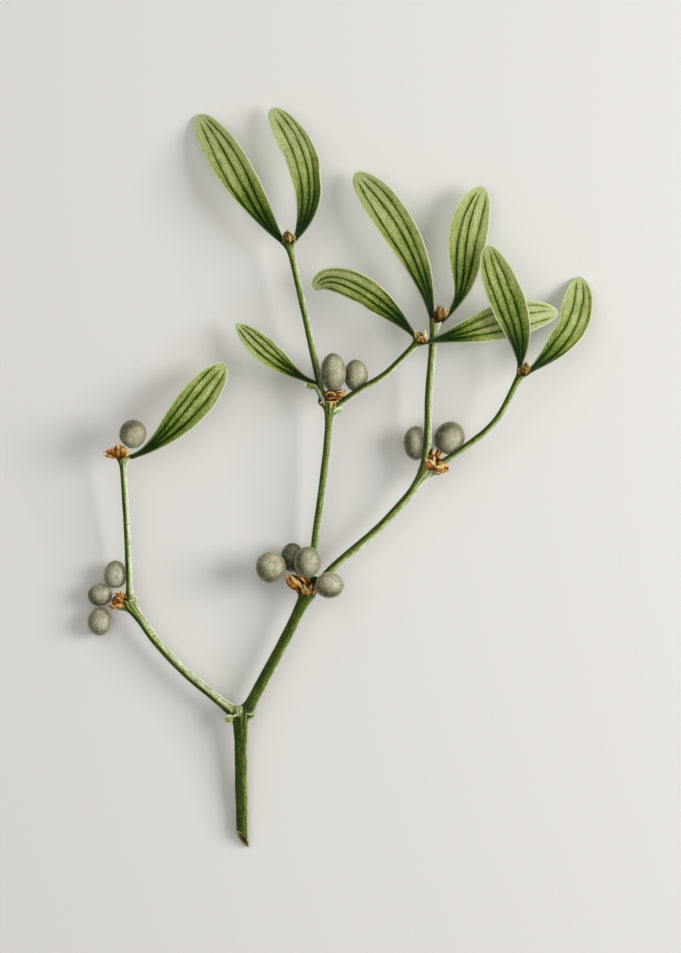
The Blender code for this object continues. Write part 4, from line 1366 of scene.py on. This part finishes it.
collarValues = {
    "base_collar_left": {
        "core": [((1.3, 0.5, 0.2), (0.1, 0.2, 0.3), 1.2, 1.32)],
        "lips": [
            (
                [(-1.3, 0.0, 0.7), (-0.7, 0.8, 1.2), (0.3, 1.1, 1.5), (1.4, 0.9, 1.9), (2.7, 1.7, 2.3)],
                0.34, 0.98,
            ),
            ([(-1.3, 0.3, 0.6), (-1.1, -0.7, 0.5), (0.0, -1.2, 0.4), (1.3, -0.9, 0.4)], 0.28, 0.9),
        ],
    },
    "base_collar_middle": {
        "folds": 0.1,
        "core": [((0.1, -0.5, 0.1), (0.05, -1.9, 0.2), 1.15, 1.25)],
    },
    "base_collar_right": {
        "core": [((-1.8, 0.3, 0.0), (-0.5, 0.4, 0.0), 0.9, 0.7)],
        "lips": [
            (
                [(-3.6, 1.1, 1.3), (-2.5, 0.5, 1.2), (-1.1, 0.2, 1.0), (0.2, 0.5, 0.7), (1.1, 1.4, 0.4)],
                0.2, 0.78,
            ),
            ([(-2.6, -0.4, 0.9), (-1.4, -0.7, 0.7), (-0.1, -0.1, 0.2)], 0.36, 0.1),
            ([(-2.2, -1.3, 0.3), (-1.2, -1.5, 0.1), (-0.3, -1.0, -0.2)], 0.2, 0.62),
        ],
    },
    "left_fork_collar": {
        "core": [((-1.3, -0.8, -0.1), (-0.5, -0.2, 0.1), 0.85, 0.75)],
        "lips": [
            ([(-1.8, -0.2, 0.8), (-0.8, 0.3, 0.9), (0.0, -0.3, 0.6), (-0.1, -1.2, 0.2)], 0.36, 0.98),
            ([(-2.7, -1.3, 0.8), (-1.6, -0.9, 1.1), (-0.6, -0.4, 1.0)], 0.28, 0.86),
            ([(-3.8, -0.9, 0.5), (-2.8, -1.7, 1.0), (-1.7, -2.3, 0.8)], 0.25, 0.62),
            ([(-4.0, -2.0, 0.4), (-2.8, -2.8, 0.8), (-1.7, -3.3, 0.6)], 0.22, 0.45),
        ],
    },
    "upper_fork_collar": {
        "core": [((-1.1, -0.2, 0.1), (0.0, 0.0, 0.2), 0.8, 0.65)],
        "lips": [
            ([(-1.7, -0.8, 1.1), (-0.6, 0.3, 1.2), (0.6, 0.6, 0.9), (1.2, -0.2, 0.3)], 0.36, 0.98),
            ([(-1.5, -1.5, 0.8), (-0.4, -0.7, 0.9), (0.8, -0.7, 0.3)], 0.32, 0.55),
        ],
    },
    "spur_collar": {
        "core": [((1.4, -0.6, 0.7), (0.6, -0.5, 0.6), 0.8, 0.8)],
        "lips": [
            ([(-0.1, -1.0, 1.2), (0.0, 0.0, 1.4), (0.8, 0.5, 1.5)], 0.34, 0.98),
            ([(0.6, -1.5, 1.0), (1.4, -1.7, 1.1), (2.3, -1.3, 1.3)], 0.3, 0.88),
            ([(1.9, -0.4, 1.6), (1.1, -0.9, 1.6), (0.2, -0.8, 1.3)], 0.36, 0.6),
        ],
    },
}
# pleat = how deep a scale folds, frost = how white its rim is, blunt = how late it narrows,
# shade = how much darker it is; coreTone and folds are for the core
bractStyle = {"coreTone": 0.12, "folds": 0.07, "pleat": 0.11, "frost": 1.0, "blunt": 2.4, "shade": 0.0}
budStyle = {"coreTone": 0.12, "folds": 0.07, "pleat": 0.06, "frost": 1.4, "blunt": 4.0, "shade": 0.14}
collarStyle = {"coreTone": 0.62, "folds": 0.02}
scaleShared = {
    "rows": 22,
    "columns": 30,
    "halfThickness": 0.09,
    "curl": 0.26,  # how far the edges bend down, as a share of the width
    "arch": 0.16,  # how far the middle rises, as a share of the length
    "sway": 0.10,  # how far the middle swings sideways, as a share of the length
    "leastHalfWidth": 0.07,
    "tornDepth": 0.10,  # of the tip, as a share of the length
    "footShade": 0.44,
    "underShade": 0.25,
    "duskShade": 0.20,  # painted shade on the side towards -X
    "coreShare": 0.6,  # rows and columns of a lump, as a share of a fork's
}
lipShared = {"rows": 30, "columns": 18, "flatness": 0.75, "underShade": 0.45}
bractColours = {
    "char": colour(30, 14, 2),
    "brown": colour(84, 42, 6),
    "orange": colour(156, 84, 12),
    "gold": colour(200, 142, 50),
    "straw": colour(232, 204, 140),
    "bark": colour(30, 22, 2),
    "moss": colour(68, 54, 4),
    "sage": colour(116, 98, 12),
    "wheat": colour(172, 150, 54),
    "ivory": colour(234, 222, 168),
    "tip": colour(246, 236, 204),
}
collarColours = {
    "moss": colour(40, 56, 8),
    "green": colour(104, 124, 50),
    "lime": colour(172, 186, 116),
    "cream": colour(236, 238, 200),
}


def makeBractFinish():
    # dry browns, or greener ones by the olive mark, by tone + fibres + blots, with pale edges; the tone
    # carries painted shade and the painted light on the pleats
    material, tree = newFinish("dry_bract", {"Roughness": 0.5, "Specular IOR Level": 0.2})
    fibres = noise(tree, 1.0, 4, 0.65, (22, 2.2, 1), "UV")
    blots = noise(tree, 1300, 3, 0.65)
    stirring = [(fibres, 0.3, 0.7, -0.22, 0.22), (blots, 0.3, 0.7, -0.16, 0.16)]
    tone = stirred(tree, markOf(tree, "tone"), stirring)
    dry = [(0.0, "char"), (0.22, "brown"), (0.48, "orange"), (0.74, "gold"), (1.0, "straw")]
    green = [(0.0, "bark"), (0.22, "moss"), (0.48, "sage"), (0.74, "wheat"), (1.0, "ivory")]
    both = [ramp(tree, tone, bractColours, stops) for stops in (dry, green)]
    base = blend(tree, markOf(tree, "olive"), *both)
    base = blend(tree, markOf(tree, "edge"), base, bractColours["tip"])
    linkFinish(tree, base, spread(tree, fibres, 0.3, 0.7, 0.40, 0.70), bumpOf(tree, fibres, 0.6, 0.12))
    return material


def makeCollarFinish():
    # greens to cream by tone + fibres + blots; the tone carries painted shade under the lips and painted
    # light on deep folds
    material, tree = newFinish("collar_scale", {"Roughness": 0.5, "Specular IOR Level": 0.25})
    fibres = noise(tree, 1.0, 4, 0.6, (10, 5, 1), "UV")
    blots = noise(tree, 1200, 3, 0.6)
    stirring = [(fibres, 0.3, 0.7, -0.16, 0.16), (blots, 0.3, 0.7, -0.14, 0.14)]
    tone = stirred(tree, markOf(tree, "tone"), stirring)
    base = ramp(tree, tone, collarColours, [(0.0, "moss"), (0.35, "green"), (0.68, "lime"), (1.0, "cream")])
    linkFinish(tree, base, spread(tree, blots, 0.3, 0.7, 0.42, 0.62), bumpOf(tree, fibres, 0.4, 0.12))
    return material


def makeScale(foot, tip, outward, width, tone, olive, style, seed):
    # path = foot to tip, raised by arch sin(pi t) and swung by sway sin(pi t);
    # half width = quick rise, then (1 - t^blunt)^0.8, torn by a wobble on each margin;
    # point = path + x half side + (face thickness - curl x^2 + pleat cos(pleats x)) up
    pleat, frost = style["pleat"], style["frost"]
    length = np.linalg.norm(tip - foot)
    t = np.linspace(0, 1, scaleShared["rows"])[:, None]
    t = t * (1.5 - 0.5 * t)
    side, up = frameAlong(np.stack([foot, tip]), outward)[1:]
    sway = scaleShared["sway"] * np.sin(seed * 2.7)
    bend = scaleShared["arch"] * up[0] + sway * side[0]
    middle = foot + (tip - foot) * t + length * np.sin(np.pi * t) * bend
    way, side, up = frameAlong(middle, outward)
    a = around(scaleShared["columns"])
    x, face = np.cos(a), np.sin(a)
    half = width / 2 * (0.5 + 0.5 * smoothStep(0.0, 0.4, t)) * (1.0004 - t ** style["blunt"]) ** 0.8
    half = np.maximum(half, scaleShared["leastHalfWidth"])
    half = half * (1 + 0.16 * wobble(t * 13 + np.sign(x) * 2, seed) * np.abs(x))
    pleats = np.cos((7 + np.cos(seed)) * x + seed + 0.8 * np.sin(4 * t + seed))
    curl = scaleShared["curl"] * (1.0 if np.sin(seed * 5.1) > -0.6 else -0.7)
    thick = scaleShared["halfThickness"] * (1.6 - t) * np.sqrt(np.clip(1 - np.abs(x) ** 3, 0, 1))
    lift = face * thick - curl * width * x**2 * (1 - 0.5 * t)
    lift = lift + pleat * width * pleats * (1 - x**2) * np.sin(np.pi * (0.15 + 0.7 * t))
    lift = lift + 0.35 * np.sin(seed * 1.9) * x * half * t
    torn = scaleShared["tornDepth"] * length * wobble(x * 3.2, seed) * t**5
    grid = swept(middle, side, up, x * half, lift) + torn[..., None] * way[:, None, :]
    # painted shade at the foot, underneath and on the side towards -X
    dark = style["shade"] + scaleShared["footShade"] * bell(t, 0.28)
    dark = dark + scaleShared["underShade"] * (face < -0.3)
    dark = dark + scaleShared["duskShade"] * smoothStep(0.2, 1.0, -x * side[0, 0])
    margin = smoothStep(0.80, 0.98, np.abs(x)) * smoothStep(0.25, 0.6, t)
    white = 0.65 * smoothStep(1 - 0.14 * frost, 1.0, t) + 0.45 * margin
    # the pleats' crests are paler and their troughs darker, as painted light and shade
    return makeSkin(grid, {
        "tone": np.clip(tone + 1.5 * pleat * pleats + 0.08 * t - dark, 0, 1.1),
        "edge": np.clip(frost * white * (0.12 + 0.8 * tone**1.5), 0, 1),
        "olive": olive * (1 - 0.25 * t),
    })


def makeLip(route, radius, tone, olive):
    # a tube along a spline: radius (sin of pi t)^0.6, flattened a little from above to below, with painted
    # shade underneath
    t = np.linspace(0.03, 0.97, lipShared["rows"])
    centres = alongLine(splineLine(route), t)
    side, up = frameAlong(centres, zUp + 0.05)[1:]
    a = around(lipShared["columns"])
    girth = (radius * np.sin(np.pi * t) ** 0.6 * (1 + 0.10 * wobble(t * 9, radius * 40)))[:, None]
    grid = swept(centres, side, up, girth * np.cos(a), lipShared["flatness"] * girth * np.sin(a))
    tone = tone - lipShared["underShade"] * smoothStep(0.1, 0.9, -np.sin(a))
    return makeSkin(grid, {"tone": tone, "edge": 0.0, "olive": olive})


def makeCore(core, middle, tone, olive, folds):
    # tapered capsules melted together, folded by a cosine round the first one's axis, with painted light and
    # shade on deep folds: paler crests, darker troughs
    lumps = [(np.add(start, middle), np.add(end, middle), first, last) for start, end, first, last in core]
    start, end = lumps[0][:2]
    centre = (start + end) / 2
    rays, radius, p, a = knuckleGrid(centre, lumps, unit(end - start), scaleShared["coreShare"])
    wave = np.cos(11 * a + 2 * np.sin(3 * p)) * np.sin(p) ** 0.5
    grid = centre + rays * (radius * (1 + folds * wave))[..., None]
    return makeSkin(grid, {"tone": tone + 0.22 * wave * (folds > 0.03), "edge": 0.0, "olive": olive})


def makeRing(ring, middle, olive, style, seed):
    # a cup of scales round an axis, in two tiers
    start, end, first, last, count = ring
    start, end = np.array(start) + middle, np.array(end) + middle
    way = unit(end - start)
    across = unit(np.cross(way, zUp))
    skins = []
    for k in range(count * 2):
        inner = k % 2
        angle = np.pi * (k + 0.4 * np.sin(2.4 * k)) / count
        outward = np.cos(angle) * across + np.sin(angle) * np.cross(way, across)
        tip = end + last * (1 - 0.35 * inner) * outward + (0.35 * np.sin(1.7 * k) + 0.3 * inner) * way
        foot = start + first * (0.7 - 0.3 * inner) * outward
        tone = 0.36 + 0.24 * np.sin(2.9 * k + seed)
        width = 2.4 * np.pi * last / (count + 2)
        skins.append(makeScale(foot, tip, outward, width, tone, olive, style, seed + k * 1.3))
    return skins


def makeCluster(node, values, number, style, material):
    # the core, the cup of scales, the lips and the single scales, each where the piece has them
    middle = nodeMiddle(node)
    olive = values.get("olive", 0.0)
    folds = values.get("folds", style["folds"])
    skins = [makeCore(values["core"], middle, style["coreTone"], olive * 0.5, folds)]
    if "ring" in values:
        skins += makeRing(values["ring"], middle, olive, style, number * 2.3)
    for route, radius, tone in values.get("lips", []):
        skins.append(makeLip(np.array(route) + middle, radius, tone, olive))
    for k, (foot, tip, width, tone) in enumerate(values.get("scales", [])):
        foot, tip = np.array(foot) + middle, np.array(tip) + middle
        skins.append(makeScale(foot, tip, zUp, width, tone, olive, style, number * 3.1 + k * 1.7))
    makePiece(node, skins, material)


bractFinish = makeBractFinish()
clusters = [
    (bractValues, bractStyle, bractFinish, "dry_bract"),
    (budValues, budStyle, bractFinish, "dry_bract"),
    (collarValues, collarStyle, makeCollarFinish(), "collar_scale"),
]
for group, style, material, slotName in clusters:
    for number, (node, values) in enumerate(group.items()):
        makeCluster(node, values, number, style, material)
print("bracts, buds and collars made:", len(bractValues) + len(budValues) + len(collarValues))
